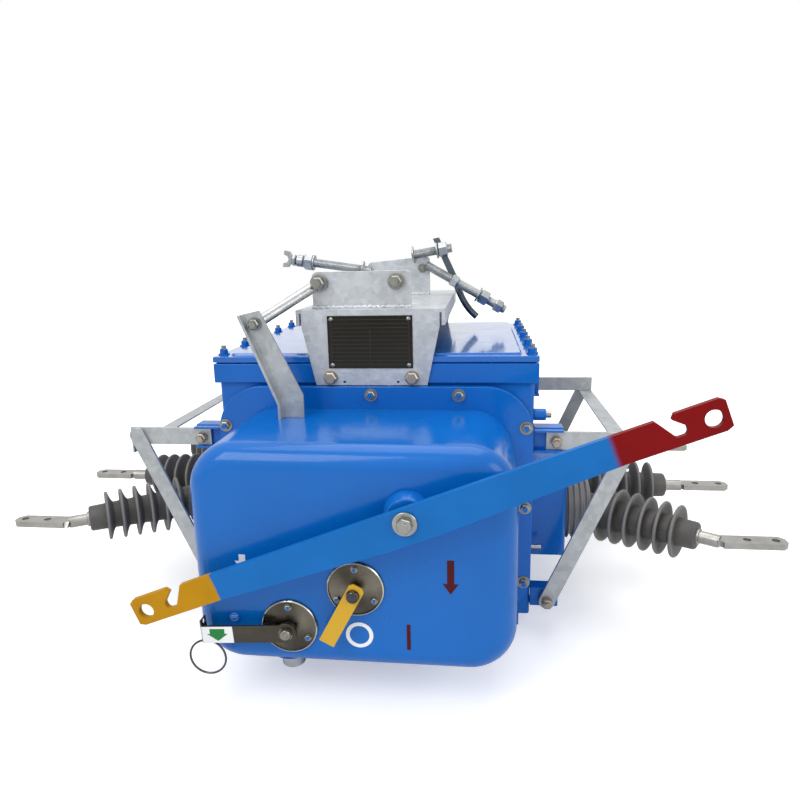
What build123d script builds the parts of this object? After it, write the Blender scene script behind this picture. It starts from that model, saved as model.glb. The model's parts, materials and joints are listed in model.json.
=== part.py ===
from build123d import *
import os
from math import cos, radians, sin

# Pole-mounted box-type vacuum load break switch, 12 kV class, three phases across the tank.
# Origin: centre of the tank's bottom face. +X right, -Y to the mechanism side, +Z up. Millimetres.

# Tank and lid
PAN_W, PAN_D, PAN_H = 456, 410, 28
TANK_W, TANK_D, TANK_TOP = 488, 428, 409
TANK_CORNER_R = 6
BAND_W, BAND_D, BAND_TOP = 500, 440, 439
LID_GAP = 2
LID_TOP = 450
PANEL_W, PANEL_D, PANEL_H = 450, 426, 4

# Front cover plate and mechanism hood
COVER_BACK_Y, COVER_FACE_Y = -220, -232
COVER_W, COVER_LOW, COVER_HIGH = 486, 32, 406
COVER_CORNER_R = 72
GASKET_INSET = 5
HOOD_W, HOOD_LOW, HOOD_HIGH = 424, 68, 372
HOOD_FRONT_Y = -438
HOOD_CORNER_R = 62
HOOD_EDGE_R = 30

# Hand lever on the hood: s runs along the lever, t across it, both from the pivot
LEVER_X, LEVER_Z = 76, 292
LEVER_ANGLE = 21.2
LEVER_BACK_Y, LEVER_T = -464, 8
LEVER_OUTLINE = [
    (301, 18.5),
    (318, -7),
    (331, -7),
    (331, 3),
    (318.5, 14),
    (323, 20),
    (370.6, 20),
    (376.5, 16),
    (376.5, -14),
    (369, -17.5),
    (258, -17.5),
    (30, -27.5),
]
LEVER_HOLE_S, LEVER_HOLE_R = 360, 10
NOTCH_CORNERS = [(318, -7), (331, -7), (331, 3)]
NOTCH_R = 5
BOSS_R, BOSS_TIP_R, BOSS_LIP = 30, 25, 8
BOSS_FACE_Y = -459
SHAFT_R, SHAFT_HUB_R, SHAFT_DEEP = 9, 15, 16
RUNNING_FIT = 0.1
WASHER_R, WASHER_T = 15, 3
HEX_AF, HEX_H = 17, 8

# Bearing discs, the trip handle with its pull ring, and the position pointer
DISC_R, DISC_RIM_T, DISC_CONE_H, DISC_HUB_R = 37, 1.5, 5, 9
TRIP_X, TRIP_Z = -82, 130
POINTER_X, POINTER_Z = 7, 187
SWING_BACK_Y, SWING_T = -454, 3
PIN_R = 5
PIN_GAP = 0.5
PIN_HEAD_R, PIN_HEAD_H = 8, 4
TRIP_DROOP = 3.5
TRIP_REACH, TRIP_ABOVE, TRIP_BELOW, TRIP_EYE_R = 114, 11, 13, 14
TAB_T, TAB_BACK, TAB_LOW = 2, 12, 19
RING_HOLE_T, RING_HOLE_R, RING_R, RING_WIRE_R = 14.5, 3.6, 24.5, 1.4
POINTER_TILT = 28.2
POINTER_W, POINTER_REACH, POINTER_TAIL, POINTER_CUT = 21, 78, 14, 4

# Cable socket under the hood
SOCKET_X, SOCKET_Y = -95, -390
BULGE_R, BULGE_LOW = 29, 58
SOCKET_R, SOCKET_LOW = 16, 44

# Bushings: straight for the middle phase, splayed for the outer two
AXIS_Z = 175
HOUSING_OUT, HOUSING_D, HOUSING_H, HOUSING_EDGE = 302, 350, 124, 6
PHASE_Y = 113
SPLAY = 33.5
COLLAR_OUT, COLLAR_R, RIB_R, RIBS = 345, 47, 53, 4
ELBOW_X = 325
NECK_R = 30
SHEDS, SHED_PITCH = 6, 21
SHED_R_ROOT, SHED_R_TIP = 46, 37
CORE_R_ROOT, CORE_R_TIP = 26, 22
SHED_RIM_T, SHED_ROOT_T = 4, 9
FIRST_SHED_MIDDLE, FIRST_SHED_SPLAYED = 41, 66
CAP_R, CAP_START, CAP_LEN = 21, 10, 26

# Terminals: round stem and flat palm with two holes; every palm lies along X
STEM_R, STEM_LEN = 9, 22
PALM_W, PALM_T, PALM_CORNER, PALM_NECK = 28, 9, 8, 10
PALM_HOLE_R, PALM_HOLES_X, PALM_END_X = 5.5, (554, 594), 609

# Galvanised guard frames beside the bushings, on welded lugs
GUARD_FRONT_Y, GUARD_REAR_Y = -222, 210
GUARD_TIP_X, GUARD_TOP_Z = 398, 336
BAR_IN_X, BAR_T, BAR_H = 262, 5, 28
STRUT_W, STRUT_LOW = 25, (270, 58)
LUG_OUT_X, LUG_D, LUG_T = 288, 26, 5
LUG_SPANS = ((45, 76), (300, 341))
RAIL_LEG, RAIL_T, RAIL_TOP = 26, 3, 308

# Hanger over the lid, with upright plates for the pole clamp
HANGER_W, HANGER_TOP, HANGER_T, HANGER_LIP = 224, 521, 5, 24
HANGER_END_Y = 225
HANGER_PLATE = [(104, 521), (104, 496), (85, 407)]
HANGER_BOLT_X, HANGER_BOLT_Z = 62, 418.5
HANGER_BOLT_R, HANGER_BOLT_H = 10, 7
SPARE_HOLE_X, SPARE_HOLE_Z, SPARE_HOLE_R = 41, 412, 2
UPRIGHT_T, UPRIGHT_CORNER_R = 6, 8
FRONT_UPRIGHT_Y, FRONT_UPRIGHT = -195, [(-92, 521), (60, 521), (60, 576), (-92, 576)]
FRONT_HOLES, UPRIGHT_HOLE_R = [(-80, 559), (38, 560)], 6.5
REAR_UPRIGHT_Y, REAR_UPRIGHT = 104, [(-55, 521), (66, 521), (66, 594), (-55, 583)]
REAR_HOLE = (52, 571)
UPRIGHT_BOLT_R, UPRIGHT_BOLT_H = 10, 8
NAMEPLATE_W, NAMEPLATE_LOW, NAMEPLATE_HIGH, NAMEPLATE_T = 128, 433, 512, 1.5

# Pole clamp kept on the rear upright: threaded bolts (ends, radius), their hexagonal nuts and the straps
CLAMP_Y = 98
CLAMP_BOLTS = [((-205, 592), (-48, 568), 6), ((30, 604), (106, 606), 6), ((60, 577), (211, 489), 6)]
CLAMP_NUTS = [((-176, 588), (-160, 585), 11), ((78, 605), (92, 606), 11), ((164, 516), (180, 507), 11)]
CLAMP_NUTS += [((-218, 594), (-203, 592), 10), ((196, 498), (208, 491), 10), ((108, 549), (122, 541), 11)]
CLAMP_STRAP, CLAMP_STRAP_Y, CLAMP_STRAP_T = [(72, 626), (84, 628), (121, 548), (109, 544)], 109, 6
CLAMP_HOOK, CLAMP_HOOK_W, CLAMP_HOOK_T = [(114, 547), (132, 499), (158, 474)], 22, 5

# Earthing boss with its stud on the tank's right side, and a second stud lower down
EARTH_Y = -200
EARTH_BOSS_Z, EARTH_BOSS_R, EARTH_BOSS_LEN = 357, 9, 19
EARTH_STUDS = [(357, 5, EARTH_BOSS_LEN, 8), (139, 3.5, 0, 17)]

# Brace from the hood to the hanger's front upright
BRACE_Y, BRACE_T, BRACE_LEG = -290, 4, 16
BRACE_RIGHT = [(-89, 372), (-89, 406), (-146, 527)]
BRACE_LEFT = [(-175, 521), (-124, 393), (-124, 372)]
BRACE_HOLE, BRACE_HOLE_R = (-153, 508), 5.5
ROD_R = 8

os.makedirs("parts", exist_ok=True)


def keep(part, label):
    """Label a finished piece and write it."""
    part.label = label
    export_step(part, f"parts/{label}.step")


def front_plane(y):
    """Plane seen from the mechanism side: sketch x is +X, sketch y is +Z, extrusion runs to -Y."""
    return Plane(origin=(0, y, 0), x_dir=(1, 0, 0), z_dir=(0, -1, 0))


def end_plane(x, side=1):
    """Plane across the tank at x, facing out to the given side: sketch y is +Z."""
    return Plane(origin=(x, 0, 0), x_dir=(0, side, 0), z_dir=(side, 0, 0))


def revolved(points, axis_x, axis_z):
    """Solid turned about an axis along Y, from (radius, y) points."""
    with BuildPart() as turned:
        with BuildSketch(Plane.XY.offset(axis_z)):
            with BuildLine():
                Polyline(*[(axis_x + r, y) for r, y in points], close=True)
            make_face()
        revolve(axis=Axis((axis_x, 0, axis_z), (0, 1, 0)))
    return turned.part


def plate(points, y, thick):
    """Flat plate in an XZ outline with its front face at y - thick."""
    with BuildPart() as flat:
        with BuildSketch(front_plane(y)):
            with BuildLine():
                Polyline(*points, close=True)
            make_face()
        extrude(amount=thick)
    return flat.part


def rod(start, end, radius):
    """Round rod between two points."""
    along = Vector(*end) - Vector(*start)
    with BuildPart() as bar:
        with BuildSketch(Plane(origin=start, z_dir=along)):
            Circle(radius)
        extrude(amount=along.length)
    return bar.part


def hex_nut(start, end, radius):
    """Hexagonal nut between two points, with its corners at the radius."""
    along = Vector(*end) - Vector(*start)
    with BuildPart() as nut:
        with BuildSketch(Plane(origin=start, x_dir=(0, 1, 0), z_dir=along)):
            RegularPolygon(radius, 6)
        extrude(amount=along.length)
    return nut.part


# Tank: welded box on a shallow bottom pan, a band round the top and a bolted lid
with BuildPart() as bottom_pan:
    with BuildSketch():
        RectangleRounded(PAN_W, PAN_D, TANK_CORNER_R)
    extrude(amount=PAN_H)
keep(bottom_pan.part, "bottom_pan")

with BuildPart() as tank_body:
    with BuildSketch(Plane.XY.offset(PAN_H)):
        RectangleRounded(TANK_W, TANK_D, TANK_CORNER_R)
    extrude(amount=TANK_TOP - PAN_H)
keep(tank_body.part, "tank_body")

with BuildPart() as tank_band:
    with BuildSketch(Plane.XY.offset(TANK_TOP)):
        Rectangle(BAND_W, BAND_D)
    extrude(amount=BAND_TOP - TANK_TOP)
keep(tank_band.part, "tank_band")

with BuildPart() as lid:
    with BuildSketch(Plane.XY.offset(BAND_TOP)):
        Rectangle(BAND_W - 4 * LID_GAP, BAND_D - 4 * LID_GAP)
    extrude(amount=LID_GAP)
    with BuildSketch(Plane.XY.offset(BAND_TOP + LID_GAP)):
        Rectangle(BAND_W, BAND_D)
    extrude(amount=LID_TOP - BAND_TOP - LID_GAP)
    with BuildSketch(Plane.XY.offset(LID_TOP)):
        RectangleRounded(PANEL_W, PANEL_D, 10)
    extrude(amount=PANEL_H, taper=30)
keep(lid.part, "lid")

# Front cover plate on its gasket, and the deep-drawn hood over the mechanism
COVER_H, COVER_MID = COVER_HIGH - COVER_LOW, (COVER_LOW + COVER_HIGH) / 2
with BuildPart() as front_cover:
    with BuildSketch(front_plane(-TANK_D / 2)):
        with Locations((0, COVER_MID)):
            RectangleRounded(
                COVER_W - 2 * GASKET_INSET, COVER_H - 2 * GASKET_INSET, COVER_CORNER_R - GASKET_INSET
            )
    extrude(amount=-COVER_BACK_Y - TANK_D / 2)
    with BuildSketch(front_plane(COVER_BACK_Y)):
        with Locations((0, COVER_MID)):
            RectangleRounded(COVER_W, COVER_H, COVER_CORNER_R)
    extrude(amount=COVER_BACK_Y - COVER_FACE_Y)
keep(front_cover.part, "front_cover")

with BuildPart() as mechanism_hood:
    with BuildSketch(front_plane(COVER_FACE_Y)):
        with Locations((0, (HOOD_LOW + HOOD_HIGH) / 2)):
            RectangleRounded(HOOD_W, HOOD_HIGH - HOOD_LOW, HOOD_CORNER_R)
    extrude(amount=COVER_FACE_Y - HOOD_FRONT_Y)
    fillet(mechanism_hood.faces().sort_by(Axis.Y)[0].edges(), HOOD_EDGE_R)
keep(mechanism_hood.part, "mechanism_hood")

# Bored boss on the hood for the lever's shaft
keep(
    revolved(
        [
            (SHAFT_R + RUNNING_FIT, HOOD_FRONT_Y),
            (BOSS_R, HOOD_FRONT_Y),
            (BOSS_R, HOOD_FRONT_Y - BOSS_LIP),
            (BOSS_TIP_R, BOSS_FACE_Y),
            (SHAFT_R + RUNNING_FIT, BOSS_FACE_Y),
        ],
        LEVER_X,
        LEVER_Z,
    ),
    "lever_boss",
)


def lever_point(s, t):
    """A point of the lever's own outline, turned to its place on the hood."""
    turn = radians(LEVER_ANGLE)
    return (LEVER_X + s * cos(turn) - t * sin(turn), LEVER_Z + s * sin(turn) + t * cos(turn))


with BuildPart() as hand_lever:
    with BuildSketch(front_plane(LEVER_BACK_Y)):
        with BuildLine():
            right = [lever_point(s, t) for s, t in LEVER_OUTLINE]
            left = [lever_point(-s, t) for s, t in reversed(LEVER_OUTLINE)]
            Polyline(*right, *left, close=True)
        make_face()
        for side in (-1, 1):
            for s, t in NOTCH_CORNERS:
                fillet(vertices().sort_by_distance((*lever_point(side * s, t), 0))[0], NOTCH_R)
        with Locations(lever_point(LEVER_HOLE_S, 0), lever_point(-LEVER_HOLE_S, 0)):
            Circle(LEVER_HOLE_R, mode=Mode.SUBTRACT)
    extrude(amount=LEVER_T)
keep(hand_lever.part, "hand_lever")

with BuildPart() as lever_bolt:
    with BuildSketch(front_plane(LEVER_BACK_Y - LEVER_T)):
        with Locations((LEVER_X, LEVER_Z)):
            Circle(WASHER_R)
    extrude(amount=WASHER_T)
    with BuildSketch(front_plane(LEVER_BACK_Y - LEVER_T - WASHER_T)):
        with Locations((LEVER_X, LEVER_Z)):
            RegularPolygon(HEX_AF / 2, 6, major_radius=False)
    extrude(amount=HEX_H)
keep(lever_bolt.part, "lever_bolt")

keep(
    revolved(
        [
            (0, BOSS_FACE_Y + SHAFT_DEEP),
            (SHAFT_R, BOSS_FACE_Y + SHAFT_DEEP),
            (SHAFT_R, BOSS_FACE_Y - PIN_GAP),
            (SHAFT_HUB_R, BOSS_FACE_Y - PIN_GAP),
            (SHAFT_HUB_R, LEVER_BACK_Y),
            (0, LEVER_BACK_Y),
        ],
        LEVER_X,
        LEVER_Z,
    ),
    "lever_shaft",
)


def bearing_disc(x, z):
    """Shallow conical bearing plate with the pin and head that hold a turning piece."""
    face = HOOD_FRONT_Y - DISC_RIM_T
    front = SWING_BACK_Y - SWING_T - PIN_GAP
    return revolved(
        [
            (0, HOOD_FRONT_Y),
            (DISC_R, HOOD_FRONT_Y),
            (DISC_R, face),
            (DISC_HUB_R, face - DISC_CONE_H),
            (DISC_HUB_R, SWING_BACK_Y + PIN_GAP),
            (PIN_R, SWING_BACK_Y + PIN_GAP),
            (PIN_R, front),
            (PIN_HEAD_R, front),
            (PIN_HEAD_R, front - PIN_HEAD_H),
            (0, front - PIN_HEAD_H),
        ],
        x,
        z,
    )


keep(bearing_disc(TRIP_X, TRIP_Z), "trip_plate")
keep(bearing_disc(POINTER_X, POINTER_Z), "indicator_plate")

# Trip handle: s runs out along the handle, t down across it, both from the pin
droop = radians(TRIP_DROOP)
TRIP_PLANE = Plane(
    origin=(TRIP_X, SWING_BACK_Y, TRIP_Z), x_dir=(-cos(droop), 0, -sin(droop)), z_dir=(0, -1, 0)
)
TAB_PLANE = Plane(
    origin=TRIP_PLANE.from_local_coords((TRIP_REACH, 0, 0)), x_dir=(0, -1, 0), z_dir=(cos(droop), 0, sin(droop))
)
with BuildPart() as trip_handle:
    with BuildSketch(TRIP_PLANE):
        Circle(TRIP_EYE_R)
        with Locations((TRIP_REACH / 2, (TRIP_BELOW - TRIP_ABOVE) / 2)):
            Rectangle(TRIP_REACH, TRIP_ABOVE + TRIP_BELOW)
        Circle(PIN_R + RUNNING_FIT, mode=Mode.SUBTRACT)
    extrude(amount=SWING_T)
    with BuildSketch(TAB_PLANE):
        with Locations(((SWING_T - TAB_BACK) / 2, (TRIP_ABOVE - TAB_LOW) / 2)):
            Rectangle(TAB_BACK + SWING_T, TRIP_ABOVE + TAB_LOW)
        with Locations((-TAB_BACK / 2, -RING_HOLE_T)):
            Circle(RING_HOLE_R, mode=Mode.SUBTRACT)
    extrude(amount=TAB_T)
keep(trip_handle.part, "trip_handle")

RING_EYE = TRIP_PLANE.from_local_coords((TRIP_REACH - TAB_T / 2, RING_HOLE_T, -TAB_BACK / 2))
with BuildPart() as trip_ring:
    with BuildSketch(Plane(origin=(RING_EYE.X, RING_EYE.Y, RING_EYE.Z - RING_R), z_dir=(0, 0, 1))):
        with Locations((RING_R, 0)):
            RegularPolygon(RING_WIRE_R, 8)
    revolve(axis=Axis((RING_EYE.X, RING_EYE.Y, RING_EYE.Z - RING_R), (0, 1, 0)))
keep(trip_ring.part, "trip_ring")

tilt = radians(POINTER_TILT)
with BuildPart() as indicator_pointer:
    with BuildSketch(
        Plane(origin=(POINTER_X, SWING_BACK_Y, POINTER_Z), x_dir=(cos(tilt), 0, -sin(tilt)), z_dir=(0, -1, 0))
    ):
        with BuildLine():
            half = POINTER_W / 2
            Polyline(
                (-half, -POINTER_REACH),
                (half, -POINTER_REACH),
                (half, POINTER_TAIL - POINTER_CUT),
                (half - POINTER_CUT, POINTER_TAIL),
                (POINTER_CUT - half, POINTER_TAIL),
                (-half, POINTER_TAIL - POINTER_CUT),
                close=True,
            )
        make_face()
        Circle(PIN_R + RUNNING_FIT, mode=Mode.SUBTRACT)
    extrude(amount=SWING_T)
keep(indicator_pointer.part, "indicator_pointer")

with BuildPart() as cable_socket:
    with BuildSketch(Plane.XY.offset(BULGE_LOW)):
        with Locations((SOCKET_X, SOCKET_Y)):
            Circle(BULGE_R)
    extrude(amount=HOOD_LOW - BULGE_LOW)
    with BuildSketch(Plane.XY.offset(SOCKET_LOW)):
        with Locations((SOCKET_X, SOCKET_Y)):
            Circle(SOCKET_R)
    extrude(amount=BULGE_LOW - SOCKET_LOW)
keep(cable_socket.part, "cable_socket")

# Side housings that carry the bushings
for side, name in ((-1, "left"), (1, "right")):
    with BuildPart() as housing:
        with BuildSketch(end_plane(side * TANK_W / 2, side)):
            with Locations((0, AXIS_Z)):
                Rectangle(HOUSING_D, HOUSING_H)
        extrude(amount=HOUSING_OUT - TANK_W / 2)
        fillet(housing.faces().sort_by(Axis.X)[0 if side < 0 else -1].edges(), HOUSING_EDGE)
    keep(housing.part, f"side_housing_{name}")


def phase_axis(side, phase):
    """Elbow point and outward direction of one bushing."""
    splay = radians(SPLAY) * phase
    return Vector(side * ELBOW_X, phase * PHASE_Y, AXIS_Z), Vector(side * cos(splay), sin(splay), 0)


def first_shed(phase):
    return FIRST_SHED_SPLAYED if phase else FIRST_SHED_MIDDLE


def cap_end(phase):
    """Distance from the elbow to the end of the cap."""
    return first_shed(phase) + (SHEDS - 1) * SHED_PITCH + CAP_START + CAP_LEN


def shed_profile(phase):
    """(along, radius) half profile of the shedded body, from inside the collar outwards."""
    points = [(-6, 0), (-6, NECK_R)]
    for i in range(SHEDS):
        share = i / (SHEDS - 1)
        core = CORE_R_ROOT + (CORE_R_TIP - CORE_R_ROOT) * share
        rim = SHED_R_ROOT + (SHED_R_TIP - SHED_R_ROOT) * share
        at = first_shed(phase) + i * SHED_PITCH
        points += [(at - SHED_ROOT_T, core), (at - SHED_RIM_T / 2, rim)]
        points += [(at + SHED_RIM_T / 2, rim), (at + SHED_RIM_T / 2, core)]
    end = cap_end(phase)
    points += [(end - CAP_LEN, CAP_R), (end, CAP_R), (end, 0)]
    return points


def collar_profile():
    """(along, radius) half profile of the ribbed root collar, from the housing outwards."""
    pitch = (COLLAR_OUT - HOUSING_OUT) / (RIBS + 0.5)
    points = [(HOUSING_OUT - ELBOW_X, 0), (HOUSING_OUT - ELBOW_X, COLLAR_R)]
    for i in range(RIBS):
        start = HOUSING_OUT - ELBOW_X + (i + 0.5) * pitch
        points += [(start, COLLAR_R), (start, RIB_R), (start + pitch / 2, RIB_R), (start + pitch / 2, COLLAR_R)]
    return points + [(COLLAR_OUT - ELBOW_X, COLLAR_R), (COLLAR_OUT - ELBOW_X, 0)]


def turned_on(elbow, along, profile):
    """Solid turned about a level axis through the elbow, from its (along, radius) half profile."""
    with BuildPart() as turned:
        with BuildSketch(Plane(origin=elbow, x_dir=along, z_dir=along.cross(Vector(0, 0, 1)))):
            with BuildLine():
                Polyline(*profile, close=True)
            make_face()
        revolve(axis=Axis(elbow, along))
    return turned.part


with BuildPart() as bushing_collars:
    for side in (-1, 1):
        for phase in (-1, 0, 1):
            add(turned_on(phase_axis(side, phase)[0], Vector(side, 0, 0), collar_profile()))
keep(bushing_collars.part, "bushing_collars")

with BuildPart() as bushings:
    for side in (-1, 1):
        for phase in (-1, 0, 1):
            elbow, splayed = phase_axis(side, phase)
            add(turned_on(elbow, splayed, shed_profile(phase)))
    add(bushing_collars.part, mode=Mode.SUBTRACT)
keep(bushings.part, "bushings")

for side, name in ((-1, "left"), (1, "right")):
    with BuildPart() as terminals:
        for phase in (-1, 0, 1):
            elbow, along = phase_axis(side, phase)
            start = elbow + along * cap_end(phase)
            bend = start + along * STEM_LEN
            with BuildSketch(Plane(origin=start, z_dir=along)):
                Circle(STEM_R)
            extrude(amount=STEM_LEN)
            inner, outer = abs(bend.X) - PALM_NECK, PALM_END_X
            with BuildSketch(Plane.XY.offset(AXIS_Z - PALM_T / 2)):
                with BuildLine():
                    half = PALM_W / 2
                    Polyline(
                        (side * inner, bend.Y - half),
                        (side * (outer - PALM_CORNER), bend.Y - half),
                        (side * outer, bend.Y - half + PALM_CORNER),
                        (side * outer, bend.Y + half - PALM_CORNER),
                        (side * (outer - PALM_CORNER), bend.Y + half),
                        (side * inner, bend.Y + half),
                        close=True,
                    )
                make_face()
                with Locations(*[(side * x, bend.Y) for x in PALM_HOLES_X]):
                    Circle(PALM_HOLE_R, mode=Mode.SUBTRACT)
            extrude(amount=PALM_T)
    keep(terminals.part, f"terminals_{name}")

# Guard frames on both sides: a bar and a strut in the front and rear planes, a rail between them
for side, name in ((-1, "left"), (1, "right")):
    with BuildPart() as lugs:
        for web_y, inward in ((GUARD_FRONT_Y + BAR_T, 1), (GUARD_REAR_Y - BAR_T, -1)):
            for low, high in LUG_SPANS:
                with BuildSketch(end_plane(side * TANK_W / 2, side)):
                    with BuildLine():
                        y0, y1, y2 = (side * y for y in (web_y, web_y + inward * LUG_T, web_y + inward * LUG_D))
                        Polyline(
                            (y0, low),
                            (y2, low),
                            (y2, low + LUG_T),
                            (y1, low + LUG_T),
                            (y1, high - LUG_T),
                            (y2, high - LUG_T),
                            (y2, high),
                            (y0, high),
                            close=True,
                        )
                    make_face()
                extrude(amount=LUG_OUT_X - TANK_W / 2)
    keep(lugs.part, f"guard_lugs_{name}")

    bar = [(side * x, z) for x in (BAR_IN_X, GUARD_TIP_X) for z in (GUARD_TOP_Z - BAR_H, GUARD_TOP_Z)]
    bar = [bar[0], bar[1], bar[3], bar[2]]
    with BuildPart() as bars:
        for y in (GUARD_FRONT_Y + BAR_T, GUARD_REAR_Y):
            add(plate(bar, y, BAR_T))
    keep(bars.part, f"guard_bars_{name}")

    top = Vector(side * (GUARD_TIP_X - STRUT_W / 2), GUARD_TOP_Z - STRUT_W / 2)
    foot = Vector(side * STRUT_LOW[0], STRUT_LOW[1])
    across = Vector(foot.Y - top.Y, top.X - foot.X).normalized() * (STRUT_W / 2)
    with BuildPart() as struts:
        for y in (GUARD_FRONT_Y, GUARD_REAR_Y + BAR_T):
            with BuildSketch(front_plane(y)):
                with BuildLine():
                    Polyline(top + across, foot + across, foot - across, top - across, close=True)
                make_face()
                with Locations(top, foot):
                    Circle(STRUT_W / 2)
            extrude(amount=BAR_T)
    keep(struts.part, f"guard_struts_{name}")

    with BuildPart() as rail:
        with BuildSketch(front_plane(GUARD_REAR_Y)):
            with BuildLine():
                x0, x1, x2 = (side * x for x in (GUARD_TIP_X - RAIL_LEG, GUARD_TIP_X - RAIL_T, GUARD_TIP_X))
                Polyline(
                    (x0, RAIL_TOP),
                    (x2, RAIL_TOP),
                    (x2, RAIL_TOP - RAIL_LEG),
                    (x1, RAIL_TOP - RAIL_LEG),
                    (x1, RAIL_TOP - RAIL_T),
                    (x0, RAIL_TOP - RAIL_T),
                    close=True,
                )
            make_face()
        extrude(amount=GUARD_REAR_Y - GUARD_FRONT_Y)
    keep(rail.part, f"guard_rail_{name}")

# Hanger: folded channel over the lid, its front and rear plates bolted to the tank band
with BuildPart() as hanger_carrier:
    with BuildSketch(front_plane(HANGER_END_Y)):
        with BuildLine():
            half = HANGER_W / 2
            Polyline(
                (-half, HANGER_TOP - HANGER_LIP),
                (-half, HANGER_TOP),
                (half, HANGER_TOP),
                (half, HANGER_TOP - HANGER_LIP),
                (half - HANGER_T, HANGER_TOP - HANGER_LIP),
                (half - HANGER_T, HANGER_TOP - HANGER_T),
                (HANGER_T - half, HANGER_TOP - HANGER_T),
                (HANGER_T - half, HANGER_TOP - HANGER_LIP),
                close=True,
            )
        make_face()
    extrude(amount=2 * HANGER_END_Y)
    outline = HANGER_PLATE + [(-x, z) for x, z in reversed(HANGER_PLATE)]
    for y in (HANGER_END_Y, HANGER_T - HANGER_END_Y):
        add(plate(outline, y, HANGER_T))
    with BuildSketch(front_plane(HANGER_T - HANGER_END_Y)):
        with Locations((-SPARE_HOLE_X, SPARE_HOLE_Z), (SPARE_HOLE_X, SPARE_HOLE_Z)):
            Circle(SPARE_HOLE_R)
    extrude(amount=HANGER_T, mode=Mode.SUBTRACT)
keep(hanger_carrier.part, "hanger_carrier")

with BuildPart() as hanger_bolts:
    for sign in (-1, 1):
        with BuildSketch(Plane(origin=(0, sign * HANGER_END_Y, 0), x_dir=(1, 0, 0), z_dir=(0, sign, 0))):
            with Locations(*[(x, -sign * HANGER_BOLT_Z) for x in (-HANGER_BOLT_X, HANGER_BOLT_X)]):
                RegularPolygon(HANGER_BOLT_R, 6)
        extrude(amount=HANGER_BOLT_H)
keep(hanger_bolts.part, "hanger_bolts")

with BuildPart() as front_upright:
    add(plate(FRONT_UPRIGHT, FRONT_UPRIGHT_Y + UPRIGHT_T, UPRIGHT_T))
    fillet(front_upright.edges().filter_by(Axis.Y).sort_by(Axis.Z)[-2:], UPRIGHT_CORNER_R)
    with BuildSketch(front_plane(FRONT_UPRIGHT_Y + UPRIGHT_T)):
        with Locations(*FRONT_HOLES):
            Circle(UPRIGHT_HOLE_R)
    extrude(amount=UPRIGHT_T, mode=Mode.SUBTRACT)
keep(front_upright.part, "front_upright")

with BuildPart() as rear_upright:
    add(plate(REAR_UPRIGHT, REAR_UPRIGHT_Y + UPRIGHT_T, UPRIGHT_T))
    fillet(rear_upright.edges().filter_by(Axis.Y).sort_by(Axis.Z)[-2:], UPRIGHT_CORNER_R)
    with BuildSketch(front_plane(REAR_UPRIGHT_Y + UPRIGHT_T)):
        with Locations(REAR_HOLE):
            Circle(UPRIGHT_HOLE_R)
    extrude(amount=UPRIGHT_T, mode=Mode.SUBTRACT)
keep(rear_upright.part, "rear_upright")

with BuildPart() as nameplate:
    with BuildSketch(front_plane(-HANGER_END_Y)):
        with Locations((0, (NAMEPLATE_LOW + NAMEPLATE_HIGH) / 2)):
            Rectangle(NAMEPLATE_W, NAMEPLATE_HIGH - NAMEPLATE_LOW)
    extrude(amount=NAMEPLATE_T)
keep(nameplate.part, "nameplate")

# Pole clamp hardware: threaded bolts with nuts, a flat strap and a bent one
with BuildPart() as clamp_bolts:
    for (x0, z0), (x1, z1), radius in CLAMP_BOLTS:
        add(rod((x0, CLAMP_Y, z0), (x1, CLAMP_Y, z1), radius))
    for (x0, z0), (x1, z1), radius in CLAMP_NUTS:
        add(hex_nut((x0, CLAMP_Y, z0), (x1, CLAMP_Y, z1), radius))
keep(clamp_bolts.part, "clamp_bolts")

with BuildPart() as clamp_straps:
    add(plate(CLAMP_STRAP, CLAMP_STRAP_Y + CLAMP_STRAP_T, CLAMP_STRAP_T))
    with BuildLine():
        hook = ThreePointArc(*[(x, CLAMP_STRAP_Y + CLAMP_HOOK_W / 2, z) for x, z in CLAMP_HOOK])
    with BuildSketch(Plane(origin=hook @ 0, x_dir=(0, 1, 0), z_dir=hook % 0)):
        Rectangle(CLAMP_HOOK_W, CLAMP_HOOK_T)
    sweep()
keep(clamp_straps.part, "clamp_straps")

# Earthing points on the tank's right side
with BuildPart() as earth_boss:
    with BuildSketch(end_plane(TANK_W / 2)):
        with Locations((EARTH_Y, EARTH_BOSS_Z)):
            Circle(EARTH_BOSS_R)
    extrude(amount=EARTH_BOSS_LEN)
keep(earth_boss.part, "earth_boss")

with BuildPart() as earth_studs:
    for z, radius, start, length in EARTH_STUDS:
        with BuildSketch(end_plane(TANK_W / 2 + start)):
            with Locations((EARTH_Y, z)):
                Circle(radius)
        extrude(amount=length)
keep(earth_studs.part, "earth_studs")

# Brace: an angle bar from the hood's top, and the rod that ties it to the hanger
with BuildPart() as brace_bar:
    add(plate(BRACE_RIGHT + BRACE_LEFT, BRACE_Y + BRACE_T, BRACE_T))
    leg = BRACE_LEFT + [(x + BRACE_T, z) for x, z in reversed(BRACE_LEFT)]
    add(plate(leg, BRACE_Y, BRACE_LEG - BRACE_T))
    with BuildSketch(front_plane(BRACE_Y + BRACE_T)):
        with Locations(BRACE_HOLE):
            Circle(BRACE_HOLE_R)
    extrude(amount=BRACE_T, mode=Mode.SUBTRACT)
keep(brace_bar.part, "brace_bar")

hx, hz = BRACE_HOLE
ux, uz = FRONT_HOLES[0]
run = Vector(ux - hx, FRONT_UPRIGHT_Y - BRACE_Y - BRACE_T, uz - hz)
with BuildPart() as brace_rod:
    with BuildSketch(front_plane(BRACE_Y + BRACE_T)):
        with Locations(BRACE_HOLE):
            Circle(ROD_R)
    extrude(amount=run.length, dir=run)
keep(brace_rod.part, "brace_rod")
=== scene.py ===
"""Pole-mounted vacuum load break switch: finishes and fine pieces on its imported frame."""

import json
from math import cos, pi, radians, sin

import bmesh
import bpy
from mathutils import Matrix, Vector

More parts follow.
